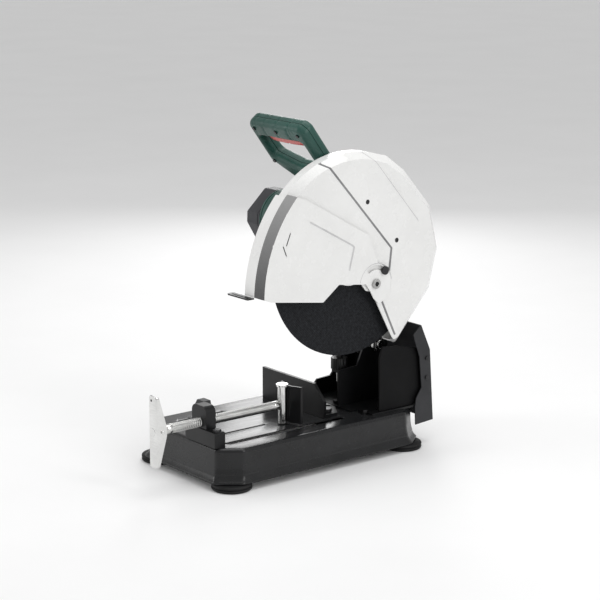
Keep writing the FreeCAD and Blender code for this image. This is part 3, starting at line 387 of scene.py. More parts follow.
class Paint:
    """A node material under construction."""

    def __init__(self, name):
        self.material = bpy.data.materials.new(name)
        self.material.use_nodes = True
        self.tree = self.material.node_tree
        self.shader = self.tree.nodes["Principled BSDF"]
        self.place = self.node("ShaderNodeTexCoord", {}).outputs["Object"]

    def feed(self, socket, value):
        """Links an output to a socket, or sets the socket to a number, colour or vector."""
        if isinstance(value, bpy.types.NodeSocket):
            self.tree.links.new(value, socket)
        elif socket.type == "RGBA":
            socket.default_value = (*value, 1.0)
        else:
            socket.default_value = value

    def node(self, kind, inputs, **values):
        """A new node, its settings, and what goes into its sockets."""
        made = self.tree.nodes.new(kind)
        for key, value in values.items():
            setattr(made, key, value)
        for key, value in inputs.items():
            self.feed(made.inputs[key], value)
        return made

    def stretched(self, scale, turn=(0, 0, 0)):
        """The object's coordinates, scaled and turned."""
        return self.node("ShaderNodeMapping", {
            "Scale": scale, "Rotation": turn, "Vector": self.place}).outputs["Vector"]

    def noise(self, scale, detail=3.0, vector=None, rough=0.55):
        """Soft noise; a larger scale makes it finer."""
        inputs = {"Scale": scale, "Detail": detail, "Roughness": rough, "Vector": vector or self.place}
        return self.node("ShaderNodeTexNoise", inputs).outputs["Fac"]

    def cells(self, scale):
        """Distance to the middle of the nearest of many small grains."""
        return self.node("ShaderNodeTexVoronoi", {"Scale": scale, "Vector": self.place}).outputs["Distance"]

    def wave(self, along, **inputs):
        """Soft bands across one direction."""
        return self.node("ShaderNodeTexWave", inputs, bands_direction=along).outputs["Fac"]

    def upward(self, vector):
        """The upward part of a place or a normal."""
        return self.node("ShaderNodeSeparateXYZ", {"Vector": vector}).outputs["Z"]

    def fit(self, source, low, high, to_low=0.0, to_high=1.0):
        """Maps a range of a value to another range."""
        return self.node("ShaderNodeMapRange", {
            "Value": source, "From Min": low, "From Max": high, "To Min": to_low,
            "To Max": to_high}).outputs["Result"]

    def uneven(self, scale, detail, low, high):
        """Noise stretched to run between two values."""
        return self.fit(self.noise(scale, detail), 0.3, 0.7, low, high)

    def blend(self, factor, first, second, kind="RGBA"):
        """Mixes two colours or two numbers by a factor output."""
        return self.node("ShaderNodeMix", {
            "Factor": factor, "A": first, "B": second}, data_type=kind).outputs["Result"]

    def math(self, operation, first, second):
        """One arithmetic step on outputs or numbers."""
        return self.node("ShaderNodeMath", {0: first, 1: second}, operation=operation).outputs["Value"]

    def bump(self, height, strength, distance, below=None):
        """Bump from a height output, laid over the bump below it."""
        inputs = {"Strength": strength, "Distance": distance, "Height": height}
        if below:
            inputs["Normal"] = below
        normal = self.node("ShaderNodeBump", inputs).outputs["Normal"]
        self.feed(self.shader.inputs["Normal"], normal)
        return normal

    def set(self, **values):
        """Sets values that are the same all over, on the shader's own sockets."""
        for key, value in values.items():
            self.shader.inputs[key.replace("_", " ")].default_value = value

    def colour(self, output):
        self.feed(self.shader.inputs["Base Color"], output)

    def rough(self, output):
        self.feed(self.shader.inputs["Roughness"], output)


def coated(name, dark, light, rough, grain=900.0, depth=0.06, coat=0.0, wear=None, specular=0.5):
    """Paint or moulded plastic: cloudy tone, fine grain, depth in mm, and edges rubbed paler with wear."""
    paint = Paint(name)
    paint.set(Coat_Weight=coat, Coat_Roughness=0.12, Specular_IOR_Level=specular)
    cloud = paint.fit(paint.noise(14.0, 4.0), 0.35, 0.65)
    tone = paint.blend(cloud, dark, light)
    if wear:
        edge = paint.node("ShaderNodeNewGeometry", {}).outputs["Pointiness"]
        patches = paint.fit(paint.noise(60.0, 5.0), 0.45, 0.62)
        rubbed = paint.math("MULTIPLY", paint.fit(edge, 0.53, 0.62), patches)
        tone = paint.blend(rubbed, tone, wear)
    paint.colour(tone)
    paint.rough(paint.uneven(35.0, 5.0, *rough))
    fine = paint.bump(paint.noise(grain, 2.0), 0.35, depth * MM)
    paint.bump(paint.noise(grain / 12, 2.0), 0.08, depth * MM * 6, fine)
    return paint.material


def metal(name, dark, light, rough, along=(40.0, 900.0, 900.0)):
    """Bare metal with a drawn or turned grain, longest along the axis with the smallest scale."""
    paint = Paint(name)
    paint.set(Metallic=1.0)
    streak = paint.noise(1.0, 4.0, paint.stretched(along))
    cloud = paint.noise(30.0, 4.0)
    mixed = paint.math("ADD", paint.math("MULTIPLY", streak, 0.6), paint.math("MULTIPLY", cloud, 0.4))
    paint.colour(paint.blend(paint.fit(mixed, 0.35, 0.65), dark, light))
    paint.rough(paint.fit(mixed, 0.3, 0.7, *rough))
    paint.bump(streak, 0.3, 0.03 * MM)
    return paint.material


def abrasive():
    """Resin-bonded grain with glass mesh under it, and painted glints: a few pale grains in the colour stand
    in for grains that catch the light.
    """
    paint = Paint("abrasive_grain")
    mesh_angle = math.radians(45)
    grit = paint.cells(1500.0)
    painted_glint = paint.fit(paint.cells(650.0), 0.0, 0.28, 1.0, 0.0)
    mottle = paint.fit(paint.noise(210.0, 6.0, rough=0.75), 0.38, 0.66)
    tone = paint.blend(mottle, (0.0035, 0.0038, 0.0048), (0.021, 0.0225, 0.026))
    for turn in (mesh_angle, -mesh_angle):
        turned = paint.stretched((1, 1, 1), (turn, 0, 0))
        bands = paint.wave("Y", Scale=95.0, Distortion=0.7, Detail=2.0, Vector=turned)
        thread = paint.math("MULTIPLY", paint.fit(bands, 0.72, 0.95), 0.28)
        tone = paint.blend(thread, tone, (0.03, 0.032, 0.036))
    # painted glints: pale specks in the colour where grains catch the light
    glint_speck = paint.math("MULTIPLY", painted_glint, paint.fit(paint.noise(160.0, 3.0), 0.5, 0.68))
    tone = paint.blend(paint.math("MULTIPLY", glint_speck, 0.55), tone, (0.2, 0.21, 0.23))
    paint.set(Specular_IOR_Level=0.25)
    paint.colour(tone)
    paint.rough(paint.fit(grit, 0.0, 0.6, 0.62, 0.95))
    fine = paint.bump(grit, 0.9, 0.6 * MM)
    paint.bump(paint.noise(210.0, 6.0), 0.5, 0.8 * MM, fine)
    return paint.material


def table_paint():
    """Black powder coat: grainy on the walls; on the table, a painted sheen makes the upward faces greyer,
    and they are smoother and scratched where stock slides.
    """
    paint = Paint("tray_powder_coat")
    paint.set(Specular_IOR_Level=0.4)
    normal = paint.node("ShaderNodeNewGeometry", {}).outputs["Normal"]
    top = paint.fit(paint.upward(normal), 0.9, 0.99)
    cloud = paint.fit(paint.noise(16.0, 5.0), 0.35, 0.65)
    wall = paint.blend(cloud, (0.0045, 0.0047, 0.0052), (0.0085, 0.0088, 0.0097))
    scratches = paint.noise(1.0, 5.0, paint.stretched((260.0, 9.0, 20.0)))
    # painted sheen: upward faces take a greyer tone, with real scratch marks in it
    rubbed = paint.blend(paint.fit(scratches, 0.3, 0.7), (0.012, 0.0123, 0.013), (0.026, 0.0265, 0.028))
    paint.colour(paint.blend(top, wall, rubbed))
    walls = paint.uneven(35.0, 5.0, 0.22, 0.32)
    paint.rough(paint.blend(top, walls, paint.fit(scratches, 0.3, 0.7, 0.16, 0.26), "FLOAT"))
    fine = paint.bump(paint.noise(1100.0, 2.0), 0.3, 0.06 * MM)
    paint.bump(paint.noise(70.0, 2.0), 0.1, 0.3 * MM, fine)
    return paint.material


def rim_painted_shade(name, node, dark, light):
    """Painted shade along a guard's bevel: a grey that runs from its dark tone low down to its light tone at
    the top, standing in for how light falls on the bevel.
    """
    paint = Paint(name)
    low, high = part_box(node)
    painted_shade_rise = paint.fit(paint.upward(paint.place), low.z + 0.01, high.z)
    grain = paint.math("MULTIPLY", paint.uneven(320.0, 4.0, 0.0, 1.0), 0.08)
    paint.colour(paint.blend(paint.math("ADD", painted_shade_rise, grain), dark, light))
    paint.rough(paint.uneven(50.0, 4.0, 0.32, 0.42))
    paint.bump(paint.noise(900.0, 2.0), 0.3, 0.06 * MM)
    return paint.material


def laminated(name, dark, light, pitch):
    """Stacked sheets or windings, banded along X."""
    paint = Paint(name)
    paint.set(Metallic=1.0)
    bands = paint.wave("X", Scale=pitch, Vector=paint.place)
    paint.colour(paint.blend(paint.math("MULTIPLY", bands, paint.noise(80.0)), dark, light))
    paint.rough(paint.fit(bands, 0.0, 1.0, 0.32, 0.5))
    paint.bump(bands, 0.5, 0.2 * MM)
    return paint.material


WHITE = coated("white_paint", (0.78, 0.78, 0.77), (0.82, 0.82, 0.81), (0.22, 0.3), 700.0, 0.05, 0.2)
# painted shadow along the upper guard's pressed step, dark where shade falls in the crease
CREASE = coated("crease_shadow", (0.16, 0.16, 0.165), (0.26, 0.26, 0.265), (0.4, 0.5), 700.0, 0.05)
# painted shade along the guards' fold, embossed edge and hub ring
SOFT_CREASE_SHADE = coated("soft_crease_shadow", (0.52, 0.52, 0.52), (0.62, 0.62, 0.62), (0.3, 0.4), 700.0, 0.05)
# painted shadow for the moving guard's slits, dark where shade falls inside them
GROOVE_SHADE = coated("groove_shadow", (0.04, 0.04, 0.042), (0.08, 0.08, 0.084), (0.5, 0.6), 700.0, 0.05)
BLACK = coated("black_powder_coat", (0.0035, 0.0036, 0.004), (0.007, 0.0072, 0.008), (0.32, 0.4),
               1000.0, 0.08, specular=0.3)
# painted shade: a darker, duller copy of the black coat for the spark wall, which sits in shade inside the
# column
SHADED_WALL_BLACK = coated("wall_painted_shade_coat", (0.0022, 0.0022, 0.0024), (0.0035, 0.0035, 0.004), (0.48, 0.58),
                    1000.0, 0.08, specular=0.12)
DARK_GREY = coated("grey_powder_coat", (0.021, 0.0215, 0.0235), (0.032, 0.0325, 0.0355), (0.52, 0.6),
                   1000.0, 0.1, specular=0.3)
GREEN = coated("green_nylon", (0.009, 0.055, 0.042), (0.016, 0.075, 0.059), (0.34, 0.46),
               1300.0, 0.12, wear=(0.09, 0.2, 0.165), specular=0.45)
GREY_NYLON = coated("grey_nylon", (0.028, 0.029, 0.033), (0.042, 0.043, 0.048), (0.45, 0.58),
                    1300.0, 0.14, wear=(0.08, 0.08, 0.088), specular=0.35)
RED = coated("red_nylon", (0.5, 0.045, 0.035), (0.6, 0.07, 0.055), (0.25, 0.34), 1000.0, 0.06, 0.2)
RUBBER = coated("rubber", (0.003, 0.003, 0.0032), (0.008, 0.008, 0.0085), (0.55, 0.72),
                900.0, 0.2, wear=(0.03, 0.03, 0.03), specular=0.3)
KNOB = coated("black_plastic", (0.003, 0.003, 0.0032), (0.007, 0.007, 0.0075), (0.3, 0.42),
              1200.0, 0.08, specular=0.35)
CASTING = coated("painted_casting", (0.012, 0.0125, 0.0135), (0.024, 0.0245, 0.0265), (0.44, 0.54),
                 420.0, 0.3, specular=0.4)
CARBON = coated("pressed_carbon", (0.02, 0.02, 0.02), (0.035, 0.035, 0.035), (0.5, 0.7))
ZINC = metal("bright_zinc", (0.62, 0.62, 0.61), (0.78, 0.78, 0.77), (0.1, 0.2))
SPINDLE = metal("rolled_spindle", (0.5, 0.5, 0.49), (0.68, 0.68, 0.665), (0.14, 0.26), (300.0, 40.0, 300.0))
STEEL = metal("turned_steel", (0.34, 0.34, 0.335), (0.5, 0.5, 0.49), (0.28, 0.42), (900.0, 60.0, 60.0))
BLACK_STEEL = metal("black_steel", (0.035, 0.035, 0.036), (0.07, 0.07, 0.072), (0.3, 0.45))
BRONZE = metal("sintered_bronze", (0.42, 0.28, 0.13), (0.55, 0.38, 0.18), (0.35, 0.5))
COPPER = laminated("copper_bars", (0.5, 0.22, 0.1), (0.75, 0.38, 0.2), 300.0)
CORE = laminated("core_sheets", (0.16, 0.16, 0.165), (0.36, 0.36, 0.37), 500.0)
GRIT = abrasive()
TRAY = table_paint()
# painted shade on the guards' bevels: the lower guard's rim is a real grey band whose upward fade is painted
# shade; the upper guard's white bevel is painted dark towards its bottom
LOWER_RIM_GREY_AND_SHADE = rim_painted_shade("lower_rim_grey_and_painted_shade", "moving_guard", (0.03, 0.03, 0.031), (0.3, 0.3, 0.3))
UPPER_RIM_PAINTED_SHADE = rim_painted_shade("upper_rim_painted_shade", "fixed_guard", (0.02, 0.02, 0.02), (0.86, 0.86, 0.85))


# ---- base

BASE_LOW, BASE_HIGH = span("base_tray")
BASE_Y = (BASE_LOW.y + BASE_HIGH.y) / 2
HALF_W = (BASE_HIGH.x - BASE_LOW.x) / 2
HALF_L = (BASE_HIGH.y - BASE_LOW.y) / 2
LIP_Z = BASE_LOW.z
TABLE_Z = BASE_HIGH.z
TABLE_INSET = 19.0
CORNER_RADIUS = 16.0


def tray_ring(inset):
    """The tray's outline at an inset from its lip: a rectangle with cut corners, rounded."""
    x = HALF_W - inset
    y = HALF_L - inset
    cut_x = 31.5 - inset * 0.3
    cut_y = 40.4 - inset * 0.3
    corners = []
    for sx, sy in ((1, -1), (1, 1), (-1, 1), (-1, -1)):
        pair = [(sx * (x - cut_x), BASE_Y + sy * y), (sx * x, BASE_Y + sy * (y - cut_y))]
        corners += pair if sx * sy < 0 else pair[::-1]
    return round_corners(corners, CORNER_RADIUS, 6)


def base_tray():
    """The pressed tray: rolled lip, hollow flare, steep wall, soft shoulder and a flat table with slots."""
    lip = [(0.0, 3.0), (0.1, 1.0), (0.8, 0.15), (2.2, 0.0), (3.8, 0.2), (4.9, 1.1)]
    flare_steps = 8
    wall = [(36, 8.0), (44, 9.0), (56, 9.6), (66, 9.9)]
    shoulder = 7.0
    slot_lip = 3.0
    sink = 1.0
    rows = [(LIP_Z + up, inset) for up, inset in lip]
    for i in range(flare_steps + 1):
        t = i / flare_steps
        rows.append((18.4 + 12.6 * t, 1.9 + 4.9 * (1 - (1 - t) ** 2)))
    rows += wall
    for i in range(7):
        angle = math.radians(15 * i)
        rows.append((TABLE_Z - shoulder + shoulder * math.sin(angle), 10 + shoulder * (1 - math.cos(angle))))
    rows.append((TABLE_Z, TABLE_INSET))
    border = tray_ring(TABLE_INSET)
    verts = [(x, y, z) for z, inset in rows for x, y in tray_ring(inset)]
    faces = ring_faces(len(rows), len(border))
    wheel_slot = capsule(DISC.x, BASE_Y - 196, BASE_Y + 76, 7)
    jaw_slot = capsule(SCREW.x - 19.5, BASE_Y - 174, BASE_Y - 66, 2.5)
    side_slots = [capsule(-86, BASE_Y - 180 + 38 * i, BASE_Y - 153 + 38 * i, 3) for i in range(3)]
    slots = [wheel_slot, jaw_slot] + side_slots
    closed = [slot + slot[:1] for slot in slots]
    lips = [shifted(slot, -slot_lip) for slot in slots]
    top, triangles = panel(border, flat_at(0.0), [lip + lip[:1] for lip in lips], slots, 24.0)
    start = len(verts)
    for _, x, y in top:
        edge = min(abs(from_line(slot, (x, y))[0]) for slot in closed)
        verts.append((x, y, TABLE_Z - sink * ramp(slot_lip - edge, 0.0, slot_lip)))
    faces += [tuple(start + i for i in face) for face in triangles]
    obj = add_mesh("tray_pressing", verts, faces)
    make_oriented(obj, Vector((0, 0, 1)))
    make_sheet(obj, 2.2)
    dress(obj, "base", "black_paint", TRAY, "base_tray", sharp=40, recalc=False)


def rubber_feet():
    """Four feet in two steps round a screw recess, the upper step ribbed."""
    radius = 37
    ribs = 36
    profile = [(8.9, 4.9), (8.9, 0.6), (9.6, 0.0), (32.5, 0.0), (35.2, 0.8), (36.6, 2.4), (36.9, 4.2),
               (36.3, 5.4), (34.6, 6.2), (34.5, 6.9), (36.4, 7.6), (36.9, 8.8), (36.7, 10.6), (35.4, 12.0),
               (33.0, 12.6), (20.0, 12.6)]

    def ribbed(r, h, angle):
        return r - (0.5 * max(0.0, math.cos(angle * ribs)) if 34.9 < r < radius and h > 7 else 0.0)

    low, high = span("rubber_feet")
    reach_x = high.x - radius
    reach_y = (high.y - low.y) / 2 - radius
    centre_y = (high.y + low.y) / 2
    feet = []
    for sx in (-1, 1):
        for sy in (-1, 1):
            centre = (sx * reach_x, centre_y + sy * reach_y, 0)
            feet.append(lathe("foot", profile, centre, "z", 4 * ribs, ribbed))
    obj = merge(*feet)
    obj.name = "stepped_rubber_feet"
    dress(obj, "base", "rubber", RUBBER, "rubber_feet", sharp=55)


# ---- guards

BEVEL = 13.0


def from_disc(points):
    """Places in the wheel's plane, given from the wheel's centre."""
    return [(DISC.y + y, DISC.z + z) for y, z in points]


def skirt(line, top, low):
    """A wall along a line in the YZ plane, from x = top(u, v) down to x = low."""
    hem = 1.2
    verts = []
    for u, v in line:
        verts += [(top(u, v), u, v), (low + hem, u, v), (low, u, v)]
    return verts, ring_faces(len(line), 3, closed=False)


def join_parts(name, *parts):
    """One object from several (corners, faces) pairs."""
    verts = []
    faces = []
    for some_verts, some_faces in parts:
        start = len(verts)
        verts += some_verts
        faces += [tuple(start + i for i in f) for f in some_faces]
    return add_mesh(name, verts, faces)


def fixed_guard():
    """The upper guard: a drum with a bevelled front edge, a faceted back, and pressed steps on its face."""
    low, high = span("fixed_guard")
    radius = high.z - DISC.z
    face_x = high.x
    step_wide = 3.2
    fold_wide = 2.2
    fold_fade = 10.0
    rim = arc((DISC.y, DISC.z), radius, 154, 72.5, 2.0)
    back = from_disc([(84, 187.5), (127, 157), (192, 84), (207, 27), (213.5, -2), (194.5, -77), (110, -172),
                      (98, -166)])
    outer = rim + open_line([rim[-1]] + back, 9, 4, 7)[1:]
    mouth = from_disc([(98, -166), (42.7, -62.5), (28, -58), (-30, 14), (-150, 74)])
    mouth = resample(mouth + [outer[0]], 7, closed=False)[1:-1]
    inner_rim = arc((DISC.y, DISC.z), radius - BEVEL, 154, 72, 2.0)
    inner_back = from_disc([(78, 174), (117, 147), (178, 81), (193, 26), (198, -2), (180, -71), (107, -157),
                            (101, -160)])
    inner = inner_rim + open_line([inner_rim[-1]] + inner_back, 9, 4, 7)[1:]
    field = inner + mouth
    step = open_line(from_disc([(-92, 199), (-57.8, 180.8), (90.6, 16), (85.3, -28.9), (72, -65.1),
                                (68.3, -82.9), (103, -156)]), 5, 4, 5)
    fold = resample(from_disc([(4, 214), (49.6, 178.9), (161.5, 49.8)]), 5, closed=False)

    def height(u, v):
        if contains(field, (u, v)):
            x = face_x
        else:
            out = abs(from_line(outer, (u, v))[0])
            inn = abs(from_line(inner, (u, v))[0])
            x = face_x - BEVEL * (1 - ramp(out / max(out + inn, 1e-6), 0, 1))
        side, along, total = from_line(step, (u, v))
        x -= 2.0 * ramp(-side, 0.0, step_wide) * ramp(total - along, 0.0, 8.0)
        side, along, total = from_line(fold, (u, v))
        fade = ramp(total - along, 0.0, 45.0)
        if side > 0:
            x -= 1.5 * fade * ramp(side, 0.0, fold_wide) * (1 - ramp(side, fold_wide, fold_fade))
        return x

    creases = [inner, step, shifted(step, -step_wide, closed=False), fold]
    creases += [shifted(fold, offset, closed=False) for offset in (fold_wide, fold_fade)]
    screws = [circle(at, 4.6, 20) for at in from_disc([(29.4, 108.6), (101, 28.8)])]
    bore = circle((DISC.y, DISC.z), 19.2, 40)
    face = panel(outer + mouth, height, creases, screws)
    left = panel(outer + mouth, flat_at(low.x), holes=[bore], grid=30)
    obj = join_parts("guard_pressing", face, skirt(outer, height, low.x), left)
    make_oriented(obj, Vector((1, 0, 0)))
    make_sheet(obj, 2.0)
    dress(obj, "head", "white_paint", WHITE, "fixed_guard", sharp=14, recalc=False)
    shaded_rim = DISC.y - 18

    def paint_of(spot, normal):
        if spot.x < face_x - BEVEL - 1:
            return 0
        place = (spot.y, spot.z)
        # painted shadow on the step's riser
        side, along, total = from_line(step, place)
        if -step_wide - 0.1 < side < 0 and along < total - 4:
            return 1
        # painted shade along the fold
        side, along, total = from_line(fold, place)
        if 0 < side < fold_wide + 0.1 and along < total - 12:
            return 2
        # painted shade: the front of the bevel takes the dark-to-pale fade of the upper rim shade
        radial = math.hypot(spot.y - DISC.y, spot.z - DISC.z)
        if abs(normal.x) < 0.9 and radial > radius - BEVEL and spot.y < shaded_rim:
            return 3
        return 0

    tint(obj, [WHITE, CREASE, SOFT_CREASE_SHADE, UPPER_RIM_PAINTED_SHADE], paint_of)


def moving_guard():
    """The swinging guard: an arc about its own pivot, a pressed panel, and a hub with a kidney slot."""
    low, high = span("moving_guard")
    centre = (SWING.y, SWING.z)
    radius = 273.0
    hub = 39.0
    emboss_wide = 3.0
    slit_half = 1.1
    rim = arc(centre, radius, 137.75, 177.95, 1.5)
    lower = from_disc([(-197, -47.3), (-77.3, -64.3), (-39.9, -36.5), (25.1, -44.9), (36, -60), (43.5, -74)])
    lower = round_corners([rim[-1]] + lower, 4, 4, closed=False)[1:]
    boss = arc(centre, hub, -80, 84, 6)
    upper = from_disc([(29.9, 47.5), (-116.5, 129.2), (-150, 140.5)])
    upper = round_corners([boss[-1]] + upper, 5, 4, closed=False)[1:]
    outline = rim + resample([rim[-1]] + lower + boss + upper, 7, closed=False)[1:]
    inner_rim = arc(centre, radius - BEVEL, 137.3, 180.2, 1.5)
    emboss = open_line(from_disc([(-128, 100.5), (-8.2, 34.4), (-2.4, 29.2), (-15.4, -18.4)]), 4, 4, 5)
    ring = arc(centre, hub - 2, -20, 200, 5)
    outer_ring = arc(centre, hub, -20, 200, 5)
    slits = [from_disc([(-152.7, 72.7), (-161.8, 50.7)]), from_disc([(-169, 50.2), (-161.8, 31.9)])]

    def height(u, v):
        r = math.hypot(u - centre[0], v - centre[1])
        x = high.x - max(0.0, r - (radius - BEVEL))
        side, along, total = from_line(emboss, (u, v))
        fade = ramp(along, 0.0, 25.0) * ramp(total - along, 0.0, 12.0)
        x -= 1.3 * ramp(-side, 0.0, emboss_wide) * fade * (1 - ramp(-side, 30.0, 90.0))
        if r < hub:
            x -= 0.8 * ramp(hub - r, 0.0, 2.0)
        for slit in slits:
            x -= ramp(slit_half - abs(from_line(slit, (u, v))[0]), 0.0, 0.5)
        return x

    creases = [inner_rim, emboss, shifted(emboss, -emboss_wide, closed=False), ring, outer_ring]
    for slit in slits:
        for offset in (-slit_half, -0.6, 0.6, slit_half):
            creases.append(resample(shifted(slit, offset, closed=False), 3, closed=False))
    kidney = arc(centre, 35.0, 40, 128, 6) + arc(centre, 26.2, 128, 40, 6)
    bore = circle(centre, 5.1, 24)
    face = panel(outline, height, creases, [kidney, bore], grid=9.0)
    obj = join_parts("moving_guard_pressing", face, skirt(rim, height, low.x))
    make_oriented(obj, Vector((1, 0, 0)))
    make_sheet(obj, 1.6)
    dress(obj, "moving_guard", "white_paint", WHITE, "moving_guard", sharp=14, recalc=False)

    def paint_of(spot, normal):
        place = (spot.y, spot.z)
        if spot.x < high.x - BEVEL - 1:
            return 0
        # painted shadow inside the slits
        if min(abs(from_line(slit, place)[0]) for slit in slits) < slit_half:
            return 3
        r = math.hypot(spot.y - centre[0], spot.z - centre[1])
        # the rim's bevel: a grey band whose upward fade is painted shade
        if r > radius - BEVEL + 0.3 and abs(normal.x) > 0.3:
            return 1
        # painted shade along the embossed edge and the hub's ring
        side, along, total = from_line(emboss, place)
        if -emboss_wide < side < 0 and 25 < along < total - 6:
            return 2
        if hub - 2 < r < hub and spot.z > centre[1] + 4:
            return 2
        return 0

    tint(obj, [WHITE, LOWER_RIM_GREY_AND_SHADE, SOFT_CREASE_SHADE, GROOVE_SHADE], paint_of)


def guard_tab():
    """A thin lift tab with round outer corners and a stiffening rib."""
    low, high = span("guard_tab")
    top = high.z - 0.8
    corners = [(low.x, high.y), (low.x, low.y), (high.x, low.y), (high.x, high.y)]
    tab = prism("lift_tab", round_corners(corners, [7, 7, 3, 1], 6), low.z, top, "z")
    rib = capsule((low.y + high.y) / 2, low.x + 8, high.x - 6, 2.2)
    rib = prism("lift_tab_rib", [(v, u) for u, v in rib], top, high.z, "z")
    bevelled(merge(tab, rib), 0.35)
    dress(tab, "moving_guard", "black_paint", BLACK, "guard_tab")


# ---- handle

GRIP = Vector((0, 25.3, 617.8))
TILT = math.radians(53)
HALF_DEEP = 16.0
GROOVES = [(-84, 1.5, 1.0), (-76, 1.5, 1.1), (-48, 1.8, 1.3), (-14, 1.8, 1.3), (22, 2.0, 2.2), (31, 1.3, 1.1),
           (40, 1.3, 0.9)]


def on_slope(x, along, up):
    """A point of the handle: across, down its slope and square to it."""
    return (x, GRIP.y + along * math.cos(TILT) + up * math.sin(TILT),
            GRIP.z - along * math.sin(TILT) + up * math.cos(TILT))


def grip_relief(x, along):
    """Depth of the moulded grooves that run round the grip, each (place, width, depth) and bowed."""
    if along > 24:
        return 0.0
    bow = 0.016 * (along - 3) ** 2 - 5
    return sum(deep * math.exp(-((x - place - bow) / width) ** 2) for place, width, deep in GROOVES)


def handle_shell(name, side, node):
    """One half of the D: side is -1 for the operator's half and +1 for the wheel's half."""
    outer = round_corners([(-88, -15.5), (53, -15.5), (65, -4), (65, 185), (22, 185), (22, 165), (-30, 140),
                           (-98, 84), (-98, -5)], [16, 12, 12, 5, 4, 6, 16, 14, 16], 7)
    inner = round_corners([(-81, 22), (42, 22), (44, 84), (14, 92), (-26, 92), (-80, 72)],
                          [7, 7, 9, 12, 14, 10], 6)
    outer = resample(outer, 3)
    inner = resample(inner, 3)
    edge_radius = 11.0
    flatten = 0.86
    recess_deep = 6.0
    seam = 0.35
    rows = [(seam, 0.5 * flatten), (0.9, 0.0)]
    for turn in (0, 12, 24, 36, 48, 60, 72, 82, 90):
        angle = math.radians(turn)
        rows.append((HALF_DEEP - edge_radius + edge_radius * math.sin(angle),
                     edge_radius * (1 - math.cos(angle)) * flatten))
    verts = []
    faces = []
    for loop, way in ((outer, 1), (inner, -1)):
        start = len(verts)
        for depth, inset in rows:
            for x, along in shifted(loop, way * inset):
                up = depth - grip_relief(x, along) * ramp(depth, 4, 12)
                spot = Vector((x, along))
                if along < -8 and -80 < x < 40:
                    spot.y += grip_relief(x, along) * (1 - ramp(depth, 6, 14))
                verts.append(on_slope(spot.x, spot.y, side * up))
        faces += ring_faces(len(rows), len(loop), start)
    edge = rows[-1][1]
    inner_edge = shifted(inner, -edge)
    centres = [(-82, 1), (-17, 1), (47, 1), (-83, 82)] if side < 0 else []
    recesses = [circle(at, 3.9, 18) for at in centres]
    top, triangles = panel(shifted(outer, edge), flat_at(0.0), holes=[inner_edge] + recesses, grid=4.0)
    start = len(verts)
    verts += [on_slope(x, along, side * (HALF_DEEP - grip_relief(x, along))) for _, x, along in top]
    faces += [tuple(start + i for i in face) for face in triangles]
    for hole in recesses:
        start = len(verts)
        count = len(hole)
        verts += [on_slope(x, along, side * (HALF_DEEP - grip_relief(x, along))) for x, along in hole]
        verts += [on_slope(x, along, side * (HALF_DEEP - recess_deep)) for x, along in hole]
        faces += ring_faces(2, count, start)
        faces.append(tuple(start + count + i for i in range(count)))
    obj = add_mesh(name, verts, faces)
    dress(obj, "head", "green_plastic", GREEN, node, sharp=38, weighted=False)


def trigger():
    """The long red lever under the grip, with a shallow notch at its middle."""
    verts = []
    columns = 56
    left = -69
    length = 100
    notch_x = -19
    front = 32
    section = [(-4.7, 18.0), (-4.7, 30.0), (-4.6, 36.6), (-3.4, 38.8), (-1.2, 39.8), (1.2, 39.8), (3.4, 38.8),
               (4.6, 36.6), (4.7, 30.0), (4.7, 18.0)]
    for i in range(columns + 1):
        x = left + length * i / columns
        bow = 2.0 * math.sin(math.pi * i / columns)
        notch = 1.6 * math.exp(-((x - notch_x) / 2.2) ** 2)
        end = 6.0 * (ramp(abs(i - columns / 2), columns / 2 - 6, columns / 2)) ** 2
        for up, along in section:
            reach = along + (bow - notch - end if along > front else 0.0)
            verts.append(on_slope(x, reach, up))
    count = len(section)
    faces = ring_faces(columns + 1, count)
    faces.append(tuple(range(count)))
    faces.append(tuple(columns * count + k for k in reversed(range(count))))
    dress(add_mesh("trigger_lever", verts, faces), "trigger", "red_plastic", RED, "trigger", sharp=40)


def pivot_screw():
    """The swing pivot's cap screw: a bright rim round a hexagon socket, its floor a black disc as painted
    shade.
    """
    low, high = span("guard_pivot_screw")
    head = (high.z - low.z) / 2
    across = head * 0.55

    def hexed(r, h, angle):
        turn = (angle % (math.pi / 3)) - math.pi / 6
        return r if r > across * 1.05 else r * math.cos(math.pi / 6) / math.cos(turn)

    shank = 5.0
    under = high.x - 4.0
    axis = (0, SWING.y, SWING.z)
    profile = [(shank, low.x), (shank, under), (head, under), (head, high.x - 0.8), (head - 0.8, high.x),
               (across * 1.1, high.x), (across, high.x - 0.4), (across, high.x - 2.6)]
    dress(lathe("pivot_cap_screw", profile, axis, "x", 48, hexed), "head", "zinc", STEEL, "guard_pivot_screw",
          sharp=35)
    # painted shade: a black plastic disc on the socket's floor stands for the shade inside it
    floor = [(0.01, high.x - 2.0), (across * 0.9, high.x - 2.1), (across * 0.98, high.x - 2.5)]
    dress(lathe("pivot_socket_painted_shade", floor, axis, "x", 24), "head", "black_steel", KNOB)


# ---- motor

def cap_ring():
    """The cap's ten corners round the motor's axis, rounded, with its sides divided."""
    half = [(12, 53), (54.5, 13.5), (55, -7), (33, -43.5), (14, -53.5)]
    corners = half + [(-y, z) for y, z in reversed(half)]
    corners = [(MOTOR.y + y, MOTOR.z + z) for y, z in corners]
    return resample(round_corners(corners, 5, 4), 8)


